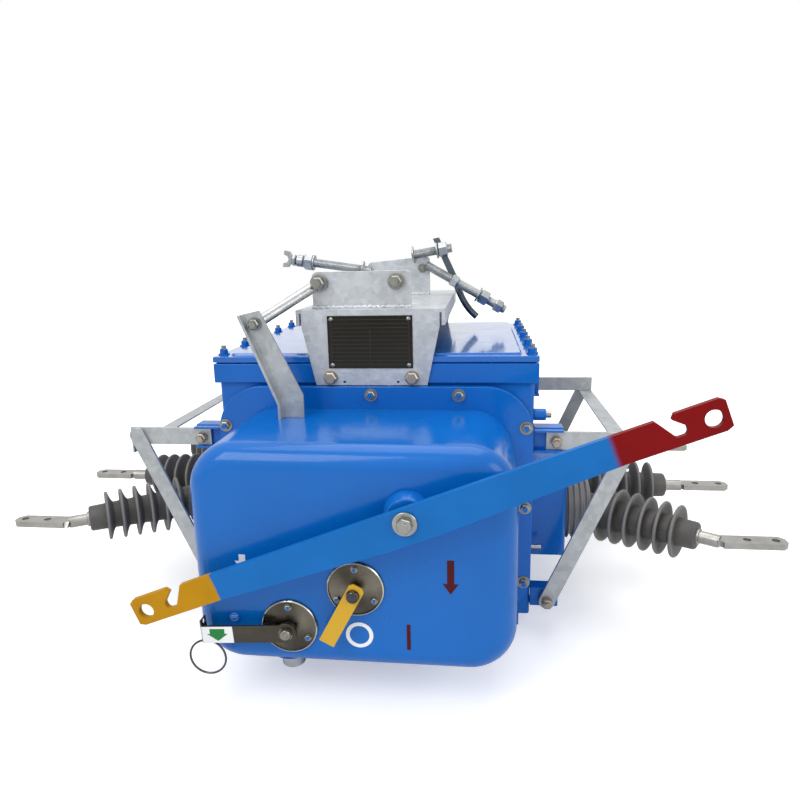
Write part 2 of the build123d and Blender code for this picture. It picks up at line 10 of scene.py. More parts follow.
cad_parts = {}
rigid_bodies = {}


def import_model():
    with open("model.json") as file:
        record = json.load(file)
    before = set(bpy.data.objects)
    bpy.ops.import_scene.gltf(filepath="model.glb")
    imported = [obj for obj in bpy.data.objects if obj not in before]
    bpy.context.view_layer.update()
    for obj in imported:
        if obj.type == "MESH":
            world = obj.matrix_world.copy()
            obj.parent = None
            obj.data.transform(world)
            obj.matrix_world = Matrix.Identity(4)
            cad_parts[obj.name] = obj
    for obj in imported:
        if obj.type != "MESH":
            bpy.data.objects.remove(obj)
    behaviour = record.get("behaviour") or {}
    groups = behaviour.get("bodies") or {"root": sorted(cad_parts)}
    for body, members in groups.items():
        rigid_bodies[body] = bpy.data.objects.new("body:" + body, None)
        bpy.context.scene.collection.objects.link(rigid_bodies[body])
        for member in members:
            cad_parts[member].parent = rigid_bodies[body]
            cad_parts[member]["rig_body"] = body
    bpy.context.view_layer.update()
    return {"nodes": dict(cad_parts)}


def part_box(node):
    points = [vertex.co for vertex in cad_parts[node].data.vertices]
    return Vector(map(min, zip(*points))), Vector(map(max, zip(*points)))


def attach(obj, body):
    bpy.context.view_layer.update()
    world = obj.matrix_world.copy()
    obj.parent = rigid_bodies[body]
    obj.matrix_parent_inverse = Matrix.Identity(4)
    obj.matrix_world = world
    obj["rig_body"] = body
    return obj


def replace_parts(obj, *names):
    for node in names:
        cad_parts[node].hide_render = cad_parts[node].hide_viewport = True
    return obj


bl_info = {
    "name": "Vacuum Load Break Switch",
    "version": (1, 0, 0),
    "blender": (4, 5, 0),
    "location": "3D View > Sidebar > Load Break Switch",
    "description": "Dresses the frame of a pole-mounted load break switch",
    "category": "Object",
}

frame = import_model()
MM = 0.001
MERGE_GAP = 1e-6
RIGHT, FRONT, BACK, UP, DOWN = (1, 0, 0), (0, -1, 0), (0, 1, 0), (0, 0, 1), (0, 0, -1)
WHITE = (1, 1, 1, 1)

# The camera that matches the photograph, in millimetres and degrees
CAMERA_AT = (161.7, -1177.5, 604.0)
CAMERA_YAW, CAMERA_PITCH, CAMERA_ROLL = 7.1, 12.9, -1.3
FOCAL_PIXELS, IMAGE_PIXELS, SENSOR_MM = 650, 800, 36

# Lights: place in metres, width in metres, watts
LIGHTS = {
    "key light": ((-1.3, -2.2, 2.6), 1.8, 46),
    "fill light": ((2.4, -1.6, 1.6), 1.6, 22),
    "top light": ((0.1, 0.3, 2.8), 2.2, 34),
}
LIGHTS_AIM = (0, -0.1, 0.25)
AMBIENT, FLOOR_RADIUS, FLOOR_SIDES = 0.45, 8, 64

# Places that the frame gives by no box, in millimetres and degrees
LEVER_PIVOT, LEVER_ANGLE = (76, 292), 21.2
PHASE_Y, AXIS_Z, SPLAY, ELBOW_X = 113, 175, 33.5, 325
COLLAR_START, COLLAR_END = 302, 345
HOOD_Y, COVER_Y, LID_Z, DECK_Z = -438, -232, 450, 521
TRIP_PIVOT, TRIP_DROOP, POINTER_PIVOT = (-82, 130), 3.5, (7, 187)
DISC_Y, HANDLE_Y, PIN_Y = -441, -457, -457.5

# Where each paint of the lever starts and is full, in metres from its pivot
CLOSE_FADE, OPEN_FADE = (0.246, 0.256), (-0.2595, -0.2565)

# Bushings: side and phase of each, then distances from the elbow for a middle and a splayed one
BUSHINGS = [(side, phase) for side in (-1, 1) for phase in (-1, 0, 1)]
FIRST_SHED, SLEEVE_START, PALM_BEND = (30, 54), (173, 197), (204, 229)
SHEDS, SHED_SKIRT, CAP_END = 6, 10, 29
CORE_RADII, RIM_RADII = (26, 22), (46, 41)
COLLAR_RIBS, COLLAR_RADIUS = 4, 47
PALM_TRIM, PALM_CORNER = 5, 7

# Guard frames: the rail's angle section, and the lug lips' span, heights and depth
RAIL_THICK, RAIL_LEG = 3, 15
LIP_X, LIP_Y, LIP_Z, LIP_THICK, LIP_DEPTH = (244, 287), (-217, 217), (304.6, 336.2), 3.2, 12

# Pole clamp: ends of each rod, then (rod, distance along it, length, radius) of nuts and washers
CLAMP_Y, CLAMP_BOLT = 98, 8.5
CLAMP_RODS = (((-205, 592), (-48, 568)), ((32, 596), (109, 608)), ((60, 577), (211, 489)))
CLAMP_NUTS = ((0, 26, 17, 16), (0, 1, 7, 12), (1, 52, 17, 14))
CLAMP_NUTS += ((2, 118, 18, 14.5), (2, 152, 15, 13), (2, 55, 14, 12))
CLAMP_DISCS = ((0, 8, 18, 11.5), (0, 43, 3, 15), (0, 141, 3, 16))
CLAMP_DISCS += ((1, 2, 3, 16), (1, 48, 3, 15), (2, 114, 3, 15))
STRAP_OUTLINE, STRAP_Y, STRAP_THICK = ((72, 626), (109, 544), (121, 548), (84, 628)), 117, 7
HOOK_CURVE, HOOK_Y, HOOK_RADIUS = ((114, 549), (129, 496), (157, 475)), 118, 6.5

# Marks on the hood in x and z; each arrow: middle of its top edge, then its measures
OPEN_MARK, CLOSED_MARK, MARK_RADIUS = (10, 121), (74, 121), 18
OPEN_ARROW, CLOSED_ARROW = ((-140, 228.5), 9, 8.5, 20, 15), ((128, 230), 32, 8.9, 20, 14.5)

# Fasteners in grids: columns in x, depth in y, rows in z, way out, share of the group's size
COVER_NUTS = (
    ((-132, 0, 132), COVER_Y, (45, 393.5), FRONT, 1),
    ((-232, 232), COVER_Y, (94, 218, 344), FRONT, 1),
)
LID_BOLTS = [((-241, 241), y, (LID_Z,), UP, 1) for y in (-194, -98, -2, 94, 190)]
GUARD_BOLTS = (
    ((-277, 277), -222, (321,), FRONT, 1),
    ((-277, 277), 210, (321,), BACK, 1),
    ((-270, 270), -227, (58,), FRONT, 1),
    ((-270, 270), 215, (58,), BACK, 1),
)
HANGER_BOLTS = (((-62, 62), -225, (418.5,), FRONT, 1), ((-62, 62), 225, (418.5,), BACK, 1))
UPRIGHT_BOLTS = (
    ((-80,), -201, (559,), FRONT, 1.05),
    ((38,), -201, (560,), FRONT, 1),
    ((-153,), -290, (508,), FRONT, 0.8),
    ((52,), 104, (571,), FRONT, 0.7),
    ((52,), 110, (571,), BACK, 0.7),
)
PLATE_RIVETS = [((-58, 58), -226.5, (438, 507), FRONT, 1)]
CAP_SCREW = [((-156,), HOOD_Y, (140,), FRONT, 1)]
DISC_SCREWS, DISC_SCREW_RADIUS = 3, 28


def linear(code):
    """Linear RGB of an sRGB hex colour."""
    parts = [int(code[i : i + 2], 16) / 255 for i in (1, 3, 5)]
    return tuple(p / 12.92 if p <= 0.04045 else ((p + 0.055) / 1.055) ** 2.4 for p in parts)


def colour(name, code, description):
    """Colour property with an sRGB default."""
    settings = {"name": name, "description": description, "default": linear(code)}
    return bpy.props.FloatVectorProperty(subtype="COLOR", size=3, min=0, max=1, **settings)


def length(name, size, description):
    """Length property with a default in metres."""
    settings = {"name": name, "description": description, "default": size}
    return bpy.props.FloatProperty(unit="LENGTH", subtype="DISTANCE", min=0, **settings)


class SwitchFinish(bpy.types.PropertyGroup):
    """Colours of the painted and moulded surfaces"""

    tank: colour("Tank enamel", "#0568C0", "Stove enamel of the tank, lid, hood and lugs")
    lever: colour("Lever enamel", "#126CBA", "Enamel on the middle of the hand lever")
    close_end: colour("Closing end", "#7E0205", "Enamel on the lever end that is pulled to close")
    open_end: colour("Charging end", "#BC8700", "Enamel on the lever end that is pulled first")
    pointer: colour("Pointer enamel", "#D6A827", "Enamel on the position pointer")
    silicone: colour("Silicone", "#6C6A68", "Moulded silicone of the bushing sheds")
    open_mark: colour("Open mark", "#F2F4F5", "Paint of the open mark and its arrow")
    closed_mark: colour("Closed mark", "#4E0408", "Paint of the closed mark and its arrow")
    plate: colour("Rating plate", "#15130F", "Ground of the rating plate")


class SwitchSizes(bpy.types.PropertyGroup):
    """Sizes of the fine pieces"""

    sheet_edge: length("Sheet edge", 1.5 * MM, "Rounding on folded and welded sheet edges")
    bar_edge: length("Bar edge", 0.7 * MM, "Rounding on rolled bars and plates")
    shed_pitch: length("Shed pitch", 23 * MM, "Distance between neighbouring sheds")
    shed_rim: length("Shed rim", 5.2 * MM, "Thickness of a shed at its rounded rim")
    rib_height: length("Rib height", 6 * MM, "Height of the ribs on the root collars")
    nut_width: length("Cover nut", 14 * MM, "Width over the corners of the nuts on the cover")
    thread_pitch: length("Thread pitch", 2.5 * MM, "Pitch of the clamp bolts' threads")
    mark_line: length("Mark line", 5 * MM, "Line width of the painted marks")
    paint: length("Paint film", 0.25 * MM, "Height of the painted marks above the enamel")


def feed(tree, node, inputs):
    """Sets a node's inputs to values, or links them to the sockets that feed them."""
    for key, value in inputs.items():
        if isinstance(value, bpy.types.NodeSocket):
            tree.links.new(value, node.inputs[key])
        else:
            node.inputs[key].default_value = value


def add_node(tree, kind, inputs=None, **settings):
    """Adds a node with its settings and inputs."""
    made = tree.nodes.new(kind)
    for key, value in settings.items():
        setattr(made, key, value)
    feed(tree, made, inputs or {})
    return made


def computed(tree, operation, *values):
    """Result of one math operation on values or sockets."""
    inputs = dict(enumerate(values))
    return add_node(tree, "ShaderNodeMath", inputs, operation=operation).outputs[0]


def ranged(tree, value, low, high, start=0.0, end=1.0, **settings):
    """Value that goes from low to high while the given one goes from start to end."""
    inputs = {"Value": value, "From Min": start, "From Max": end, "To Min": low, "To Max": high}
    return add_node(tree, "ShaderNodeMapRange", inputs, **settings).outputs["Result"]


def blended(tree, share, first, second):
    """Mix of two colours."""
    inputs = {"Factor": share, 6: first, 7: second}
    return add_node(tree, "ShaderNodeMix", inputs, data_type="RGBA").outputs[2]


class Finish:
    """Material in the making, with its tree, its shader and object coordinates."""

    def __init__(self, name):
        self.material = bpy.data.materials.new(name)
        self.material.use_nodes = True
        self.tree = self.material.node_tree
        self.tree.nodes.clear()
        self.shader = add_node(self.tree, "ShaderNodeBsdfPrincipled")
        surface = {"Surface": self.shader.outputs["BSDF"]}
        self.output = add_node(self.tree, "ShaderNodeOutputMaterial", surface)
        self.place = add_node(self.tree, "ShaderNodeTexCoord").outputs["Object"]

    def mottle(self, scale, detail, low, high):
        """Soft noise turned to a value between low and high; scale is in cycles per metre."""
        inputs = {"Vector": self.place, "Scale": scale, "Detail": detail}
        noise = add_node(self.tree, "ShaderNodeTexNoise", inputs).outputs["Fac"]
        return ranged(self.tree, noise, low, high, 0.3, 0.7)

    def done(self, base, shade, rough, relief, depth, **fixed):
        """Material of a base colour times a shade, with relief of a depth in metres."""
        base = base if isinstance(base, bpy.types.NodeSocket) else (*base, 1)
        tint = add_node(self.tree, "ShaderNodeHueSaturation", {"Value": shade, "Color": base})
        bump = add_node(self.tree, "ShaderNodeBump", {"Height": relief, "Distance": depth})
        inputs = {"Base Color": tint.outputs["Color"], "Normal": bump.outputs["Normal"]}
        feed(self.tree, self.shader, {**inputs, "Roughness": rough, **fixed})
        return self.material


def stove_enamel(name, base, waviness=0.0006, gloss=0.25):
    """Sprayed and stoved enamel: deep colour, sharp highlights broken by faint orange peel."""
    made = Finish(name)
    shade, rough = made.mottle(7, 3, 0.93, 1.05), made.mottle(25, 4, 0.16, 0.28)
    # Orange peel is about 3 mm across; the slower waves are the sheet's own
    relief = computed(made.tree, "ADD", made.mottle(330, 1, 0, 0.12), made.mottle(14, 2, 0, 1))
    coat = {"Specular IOR Level": 0.2, "Coat Weight": gloss, "Coat Roughness": 0.08}
    return made.done(base, shade, rough, relief, waviness, IOR=1.5, **coat)


def galvanised_steel(name, base="#C4C8CC"):
    """Hot-dip galvanised steel: grey zinc with crystal spangle of 6 to 12 mm and dull bloom."""
    made = Finish(name)
    crystals = add_node(made.tree, "ShaderNodeTexVoronoi", {"Vector": made.place, "Scale": 110})
    spangle = ranged(made.tree, crystals.outputs["Color"], 0.86, 1.08)
    shade = computed(made.tree, "MULTIPLY", spangle, made.mottle(22, 5, 0.88, 1.08))
    rough, relief = made.mottle(40, 4, 0.32, 0.55), made.mottle(160, 4, 0, 1)
    return made.done(linear(base), shade, rough, relief, 0.0002, Metallic=0.7)


def bare_metal(name, base, rough=(0.22, 0.38), grain=300):
    """Plated or rolled metal with a faint uneven sheen."""
    made = Finish(name)
    shade, sheen = made.mottle(60, 4, 0.85, 1.08), made.mottle(grain, 3, *rough)
    return made.done(linear(base), shade, sheen, made.mottle(grain, 3, 0, 1), 0.00006, Metallic=1)


def turned_stainless(name, centre):
    """Stainless disc faced on a lathe: fine rings about its centre, 0.8 mm apart as drawn, and a
    painted highlight in two fans.
    """
    made = Finish(name)
    tree = made.tree
    inputs = {"Vector": made.place, "Location": [-c for c in centre]}
    moved = add_node(tree, "ShaderNodeMapping", inputs).outputs[0]
    inputs = {"Vector": moved, "Scale": 200, "Distortion": 0.6, "Detail": 2}
    settings = {"wave_type": "RINGS", "rings_direction": "Y"}
    rings = add_node(tree, "ShaderNodeTexWave", inputs, **settings).outputs["Fac"]
    # Painted highlight: the colour is lightened and darkened in two fans from the centre, standing
    # in for the light a faced disc throws
    parts = add_node(tree, "ShaderNodeSeparateXYZ", {"Vector": moved}).outputs
    angle = computed(tree, "ARCTAN2", parts["Z"], parts["X"])
    painted_highlight_fans = computed(tree, "SINE", computed(tree, "MULTIPLY_ADD", angle, 2.0, 0.7))
    painted_highlight_fans = ranged(tree, painted_highlight_fans, 0.62, 1.5, -1.0)
    shade = computed(tree, "MULTIPLY", painted_highlight_fans, made.mottle(45, 4, 0.75, 1.2))
    rough = made.mottle(90, 3, 0.2, 0.36)
    return made.done(linear("#5E5A51"), shade, rough, rings, 0.00006, Metallic=1)


def moulded_silicone(name, base):
    """Moulded silicone rubber: satin grey, with painted shade towards each bushing's core between
    the sheds and a painted highlight on the rims.
    """
    made = Finish(name)
    # The rim attribute is painted light: it darkens the silicone near the core as painted shade and
    # lightens the rims as a painted highlight
    core_shade_rim_light = add_node(made.tree, "ShaderNodeAttribute", attribute_name="rim").outputs["Fac"]
    shade = computed(made.tree, "MULTIPLY", core_shade_rim_light, made.mottle(28, 5, 0.9, 1.12))
    rough, relief = made.mottle(60, 3, 0.45, 0.6), made.mottle(420, 2, 0, 1)
    return made.done(base, shade, rough, relief, 0.00008, IOR=1.41)


def finished(name, mesh, body, material=None, edge=0.0, angle=32):
    """Object of a finished mesh in the row frame, riding on a body, with softened edges."""
    if material is not None:
        mesh.materials.clear()
        mesh.materials.append(material)
    piece = bpy.data.objects.new(name, mesh)
    bpy.context.collection.objects.link(piece)
    mesh.shade_smooth()
    mesh.set_sharp_from_angle(angle=radians(angle))
    if edge:
        soften = piece.modifiers.new("edges", "BEVEL")
        soften.width = edge
        soften.segments = 2
        soften.limit_method = "ANGLE"
        soften.angle_limit = radians(angle)
        soften.harden_normals = True
        soften.use_clamp_overlap = True
    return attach(piece, body)


def dressed(node, material, edge=0.0):
    """Merged copy of a CAD node with its finish and softened edges, shown in its place."""
    source = frame["nodes"][node]
    mesh = source.data.copy()
    form = bmesh.new()
    form.from_mesh(mesh)
    bmesh.ops.remove_doubles(form, verts=form.verts, dist=MERGE_GAP)
    bmesh.ops.dissolve_limit(form, angle_limit=radians(0.3), verts=form.verts, edges=form.edges)
    form.to_mesh(mesh)
    form.free()
    for name in [a.name for a in mesh.attributes if a.name.startswith(("custom_normal", "UV"))]:
        mesh.attributes.remove(mesh.attributes[name])
    piece = finished(f"{node}_surface", mesh, source["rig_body"], material, edge)
    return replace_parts(piece, node)


def mm(*point):
    """Point given in millimetres, in metres."""
    return Vector(point) * MM


def in_mm(pairs):
    """Pairs of an outline or a profile given in millimetres, in metres."""
    return [(a * MM, b * MM) for a, b in pairs]


def around(count):
    """Angles of equal steps round a full turn."""
    return [2 * pi * i / count for i in range(count)]


def circle(form, centre, side, other, radius, steps):
    """Adds a ring of vertices round a centre, or one vertex for a radius of zero."""
    if radius == 0:
        return [form.verts.new(centre)]
    points = [centre + (side * cos(t) + other * sin(t)) * radius for t in around(steps)]
    return [form.verts.new(point) for point in points]


def skinned(form, rings, closed):
    """Adds the faces between neighbouring rings of vertices."""
    for near, far in zip(rings, rings[1:] + (rings[:1] if closed else [])):
        steps = max(len(near), len(far))
        for i in range(steps):
            j = (i + 1) % steps
            face = [near[i % len(near)], far[i % len(far)], far[j % len(far)], near[j % len(near)]]
            face = list(dict.fromkeys(face))
            if len(face) > 2:
                form.faces.new(face)


def lathe(form, profile, at, along, steps=48, ring=False):
    """Adds a solid turned about the axis from at; profile holds (distance along, radius)."""
    at, along = Vector(at), Vector(along).normalized()
    side = along.orthogonal().normalized()
    other = along.cross(side)
    skinned(form, [circle(form, at + along * a, side, other, r, steps) for a, r in profile], ring)


def sweep(form, path, radius, steps=12, closed=False):
    """Adds a round tube along a path of points."""
    count = len(path)
    rings = []
    guide = None
    for i, point in enumerate(path):
        before = path[i - 1] if i or closed else point
        after = path[(i + 1) % count] if i + 1 < count or closed else point
        ahead = (after - before).normalized()
        guide = ahead.orthogonal() if guide is None else guide - ahead * guide.dot(ahead)
        guide.normalize()
        rings.append(circle(form, point, guide, ahead.cross(guide), radius, steps))
    skinned(form, rings, closed)
    if not closed:
        form.faces.new(rings[0][::-1])
        form.faces.new(rings[-1])


def slab(form, outline, origin, thick, right=RIGHT, up=UP):
    """Adds a flat plate of an outline given in its own plane, rising by thick from origin."""
    origin, right, up = Vector(origin), Vector(right), Vector(up)
    rise = right.cross(up).normalized() * thick
    low = [form.verts.new(origin + right * x + up * y) for x, y in outline]
    high = [form.verts.new(v.co + rise) for v in low]
    form.faces.new(low[::-1])
    form.faces.new(high)
    for i in range(len(low)):
        j = (i + 1) % len(low)
        form.faces.new([low[i], low[j], high[j], high[i]])


def hexagon(form, at, along, length, radius):
    """Adds a hexagonal nut or head with turned corners, from at, of that length."""
    ease = radius * 0.12
    profile = [(0, 0), (0, radius * 0.9), (ease, radius), (length - ease, radius)]
    lathe(form, profile + [(length, radius * 0.9), (length, 0)], at, along, 6)


def washer(form, at, along, thick, radius):
    """Adds a round washer or flange, from at, of that thickness."""
    ease = thick * 0.2
    profile = [(0, 0), (0, radius - ease), (ease, radius), (thick - ease, radius)]
    lathe(form, profile + [(thick, radius - ease), (thick, 0)], at, along, 40)


def threaded(form, start, end, radius, pitch):
    """Adds a threaded rod between two points, its thread drawn as rings of the real pitch."""
    reach = (end - start).length
    profile = [(0, 0), (0, radius * 0.8)]
    for i in range(int(reach / pitch)):
        profile += [(pitch * (i + 0.5), radius), (pitch * (i + 1), radius * 0.9)]
    lathe(form, profile + [(reach, radius * 0.8), (reach, 0)], start, end - start, 24)


def form_of(build, *args, **options):
    """New form made by one building call."""
    form = bmesh.new()
    build(form, *args, **options)
    return form


def built(name, form, body, material, edge=0.0, angle=32):
    """Finished piece of a filled form, with its faces turned outwards."""
    bmesh.ops.recalc_face_normals(form, faces=form.faces)
    mesh = bpy.data.meshes.new(name)
    form.to_mesh(mesh)
    form.free()
    return finished(name, mesh, body, material, edge, angle)


def point_mesh(places):
    """Mesh of loose points; places holds (point in mm, outward direction, size)."""
    mesh = bpy.data.meshes.new("places")
    mesh.from_pydata([[c * MM for c in point] for point, _, _ in places], [], [])
    out = mesh.attributes.new("out", "FLOAT_VECTOR", "POINT")
    out.data.foreach_set("vector", [c for _, direction, _ in places for c in direction])
    size = mesh.attributes.new("size", "FLOAT", "POINT")
    size.data.foreach_set("value", [s for _, _, s in places])
    return mesh


def new_tree(name, sizes, finishes=("Finish",)):
    """Geometry tree for a piece on points, with named sizes in mm and finishes, and its inputs."""
    tree = bpy.data.node_groups.new(name, "GeometryNodeTree")
    tree.interface.new_socket("Points", in_out="INPUT", socket_type="NodeSocketGeometry")
    for label, size in sizes.items():
        made = tree.interface.new_socket(label, in_out="INPUT", socket_type="NodeSocketFloat")
        made.default_value = size * MM
    for label in finishes:
        tree.interface.new_socket(label, in_out="INPUT", socket_type="NodeSocketMaterial")
    tree.interface.new_socket("Geometry", in_out="OUTPUT", socket_type="NodeSocketGeometry")
    return tree, add_node(tree, "NodeGroupInput").outputs


def cylinder(tree, sides, radius, depth):
    """Upright cylinder about the origin."""
    inputs = {"Vertices": sides, "Radius": radius, "Depth": depth}
    return add_node(tree, "GeometryNodeMeshCylinder", inputs).outputs["Mesh"]


def attribute(tree, name, kind):
    """Named attribute of the points or faces."""
    inputs = {"Name": name}
    return add_node(tree, "GeometryNodeInputNamedAttribute", inputs, data_type=kind).outputs[0]


def painted(tree, piece, material, **inputs):
    """Geometry with a material, on all its faces or on a selection."""
    inputs = {"Geometry": piece, "Material": material, **inputs}
    return add_node(tree, "GeometryNodeSetMaterial", inputs).outputs[0]


def set_on_points(tree, given, piece):
    """Stands a piece on every point along its own outward direction and ends the tree."""
    out = {"Vector": attribute(tree, "out", "FLOAT_VECTOR")}
    turn = add_node(tree, "FunctionNodeAlignRotationToVector", out, axis="Z")
    points = add_node(tree, "GeometryNodeMeshToPoints", {"Mesh": given["Points"]})
    inputs = {
        "Points": points.outputs[0],
        "Instance": piece,
        "Rotation": turn.outputs[0],
        "Scale": attribute(tree, "size", "FLOAT"),
    }
    placed = add_node(tree, "GeometryNodeInstanceOnPoints", inputs).outputs[0]
    real = add_node(tree, "GeometryNodeRealizeInstances", {"Geometry": placed}).outputs[0]
    real = painted(tree, real, given["Finish"])
    if "End finish" in given:
        is_end = attribute(tree, "stud end", "BOOLEAN")
        real = painted(tree, real, given["End finish"], Selection=is_end)
    add_node(tree, "NodeGroupOutput", {"Geometry": real})
    return tree


def hex_tree():
    """Hexagon nut or bolt head on a round washer, with a stud end through it."""
    sizes = {"Width": 15, "Height": 6, "Washer": 20, "Stud": 3}
    tree, given = new_tree("hexagon fastener", sizes, ("Finish", "End finish"))

    def share(name, part):
        """Part of one of the fastener's sizes."""
        return computed(tree, "MULTIPLY", given[name], part)

    crown = {"Radius Bottom": share("Width", 0.5), "Radius Top": share("Width", 0.41)}
    crown |= {"Vertices": 6, "Depth": share("Height", 0.14)}
    end = cylinder(tree, 18, share("Width", 0.27), given["Stud"])
    end = {"Geometry": end, "Name": "stud end", "Value": True}
    kind = {"data_type": "BOOLEAN", "domain": "FACE"}
    marked = add_node(tree, "GeometryNodeStoreNamedAttribute", end, **kind)
    joined = add_node(tree, "GeometryNodeJoinGeometry")
    # Washer, head, its turned crown and the stud's end, each with the height of its middle
    for part, lift in (
        (cylinder(tree, 28, share("Washer", 0.5), share("Height", 0.22)), share("Height", 0.11)),
        (cylinder(tree, 6, share("Width", 0.5), share("Height", 0.8)), share("Height", 0.62)),
        (add_node(tree, "GeometryNodeMeshCone", crown).outputs["Mesh"], share("Height", 1.02)),
        (marked.outputs[0], computed(tree, "ADD", share("Height", 1.16), share("Stud", 0.5))),
    ):
        offset = add_node(tree, "ShaderNodeCombineXYZ", {"Z": lift}).outputs[0]
        inputs = {"Geometry": part, "Translation": offset}
        feed(tree, joined, {0: add_node(tree, "GeometryNodeTransform", inputs).outputs[0]})
    return set_on_points(tree, given, joined.outputs[0])


def dome_tree():
    """Round-headed screw or rivet."""
    tree, given = new_tree("domed fastener", {"Width": 8, "Height": 3})
    radius = computed(tree, "MULTIPLY", given["Width"], 0.5)
    inputs = {"Segments": 24, "Rings": 12, "Radius": radius}
    ball = add_node(tree, "GeometryNodeMeshUVSphere", inputs).outputs["Mesh"]
    squash = computed(tree, "DIVIDE", given["Height"], given["Width"])
    flat = {"X": 1, "Y": 1, "Z": computed(tree, "MULTIPLY", squash, 2)}
    flat = add_node(tree, "ShaderNodeCombineXYZ", flat).outputs[0]
    dome = add_node(tree, "GeometryNodeTransform", {"Geometry": ball, "Scale": flat})
    return set_on_points(tree, given, dome.outputs[0])


def bead_tree():
    """Weld bead: overlapping drops along the points."""
    tree, given = new_tree("weld bead", {"Width": 6})
    inputs = {"Radius": computed(tree, "MULTIPLY", given["Width"], 0.5), "Subdivisions": 2}
    drop = add_node(tree, "GeometryNodeMeshIcoSphere", inputs)
    return set_on_points(tree, given, drop.outputs[0])


def grown(tree, places, name, body, **inputs):
    """Runs a geometry tree on its places and keeps the result as a plain mesh on a body."""
    base = bpy.data.objects.new(name, point_mesh(places))
    bpy.context.collection.objects.link(base)
    modifier = base.modifiers.new(name, "NODES")
    modifier.node_group = tree
    for item in tree.interface.items_tree:
        if item.in_out == "INPUT" and item.name in inputs:
            modifier[item.identifier] = inputs[item.name]
    seen = base.evaluated_get(bpy.context.evaluated_depsgraph_get())
    mesh = bpy.data.meshes.new_from_object(seen)
    bpy.data.objects.remove(base)
    return finished(name, mesh, body)


def phase_axis(side, phase):
    """Elbow point in metres and outward direction of one bushing."""
    splay = radians(SPLAY) * phase
    elbow = mm(side * ELBOW_X, phase * PHASE_Y, AXIS_Z)
    return elbow, Vector((side * cos(splay), sin(splay), 0))


class LBS_OT_enclosure(bpy.types.Operator):
    """Finish the tank, lid, cover, hood, side housings and their lugs"""

    bl_idname = "lbs.enclosure"
    bl_label = "Enclosure"

    def execute(self, context):
        tank, edge = context.scene.lbs_finish.tank, context.scene.lbs_sizes.sheet_edge
        enamel = stove_enamel("blue stove enamel", tank)
        shell = ("bottom_pan", "tank_body", "tank_band", "front_cover", "mechanism_hood")
        housings = ("side_housing_left", "side_housing_right", "lever_boss")
        for node in (*shell, *housings, "guard_lugs_left", "guard_lugs_right", "earth_boss"):
            dressed(node, enamel, edge)
        # The lid lies flat, so its enamel flowed out smoother and glossier than on the sides
        dressed("lid", stove_enamel("blue enamel on the lid", tank, 0.0003, 1.0), edge)
        self.cable_socket(enamel)
        return {"FINISHED"}

    def cable_socket(self, enamel):
        """Shallow pressed boss under the hood and the faceted socket ring in it."""
        low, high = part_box("cable_socket")
        top = Vector(((low.x + high.x) / 2, (low.y + high.y) / 2, high.z))
        hood = (high.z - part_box("mechanism_hood")[0].z) / MM
        end = (high.z - low.z) / MM
        boss = [(0, 0), (0, 29), (hood + 0.5, 29), (hood + 3, 27.5), (hood + 4.5, 24)]
        boss = form_of(lathe, in_mm(boss + [(hood + 5, 19), (hood + 5, 0)]), top, DOWN, 64)
        built("socket_boss", boss, "switch", enamel)
        ring = [(hood, 0), (hood, 16), (end - 1, 16), (end, 15), (end, 12.5), (end - 4, 12.5)]
        ring = form_of(lathe, in_mm(ring + [(end - 4, 0)]), top, DOWN, 24)
        cast = bare_metal("cast zinc socket", "#B2B5B8", (0.3, 0.45))
        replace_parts(built("socket_ring", ring, "switch", cast, angle=10), "cable_socket")


class LBS_OT_lever(bpy.types.Operator):
    """Finish the hand lever with its painted ends, its shaft and pivot bolt"""

    bl_idname = "lbs.lever"
    bl_label = "Hand lever"

    def execute(self, context):
        enamel = self.enamel(context.scene.lbs_finish)
        dressed("hand_lever", enamel, context.scene.lbs_sizes.bar_edge)
        zinc = bare_metal("zinc plated steel", "#9FA09C")
        dressed("lever_shaft", zinc)
        x, z = LEVER_PIVOT
        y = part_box("hand_lever")[0].y / MM
        form = bmesh.new()
        # Washer, head and bolt end, each with its start on the bolt's axis, length and radius
        layers = ((washer, 0, 3, 15), (hexagon, 3, 7, 10), (washer, 10, 1, 4.6))
        for build, start, long, radius in layers:
            build(form, mm(x, y - start, z), FRONT, long * MM, radius * MM)
        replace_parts(built("lever_bolt_head", form, "hand_lever", zinc), "lever_bolt")
        return {"FINISHED"}

    def enamel(self, finish):
        """Blue enamel that gives way to red at the closing end and yellow at the other."""
        made = Finish("lever enamel in three colours")
        tree, (x, z) = made.tree, LEVER_PIVOT
        inputs = {"Vector": made.place, "Location": [-x * MM, 0, -z * MM]}
        pivot = add_node(tree, "ShaderNodeMapping", inputs).outputs[0]
        inputs = {"Vector": pivot, "Angle": radians(LEVER_ANGLE)}
        flat = add_node(tree, "ShaderNodeVectorRotate", inputs, rotation_type="Y_AXIS").outputs[0]
        along = add_node(tree, "ShaderNodeSeparateXYZ", {"Vector": flat}).outputs["X"]
        # The closing end is sprayed and fades; the other end is masked and nearly sharp
        edge = computed(tree, "ADD", along, made.mottle(120, 2, -0.0003, 0.0003))
        right = ranged(tree, edge, 0, 1, *CLOSE_FADE, interpolation_type="SMOOTHSTEP")
        left = ranged(tree, edge, 1, 0, *OPEN_FADE, interpolation_type="SMOOTHSTEP")
        paint = blended(tree, right, (*finish.lever, 1), (*finish.close_end, 1))
        paint = blended(tree, left, paint, (*finish.open_end, 1))
        shade, rough = made.mottle(18, 4, 0.92, 1.06), made.mottle(50, 3, 0.3, 0.45)
        soft = {"Specular IOR Level": 0.15}
        return made.done(paint, shade, rough, made.mottle(200, 3, 0, 1), 0.00012, **soft)


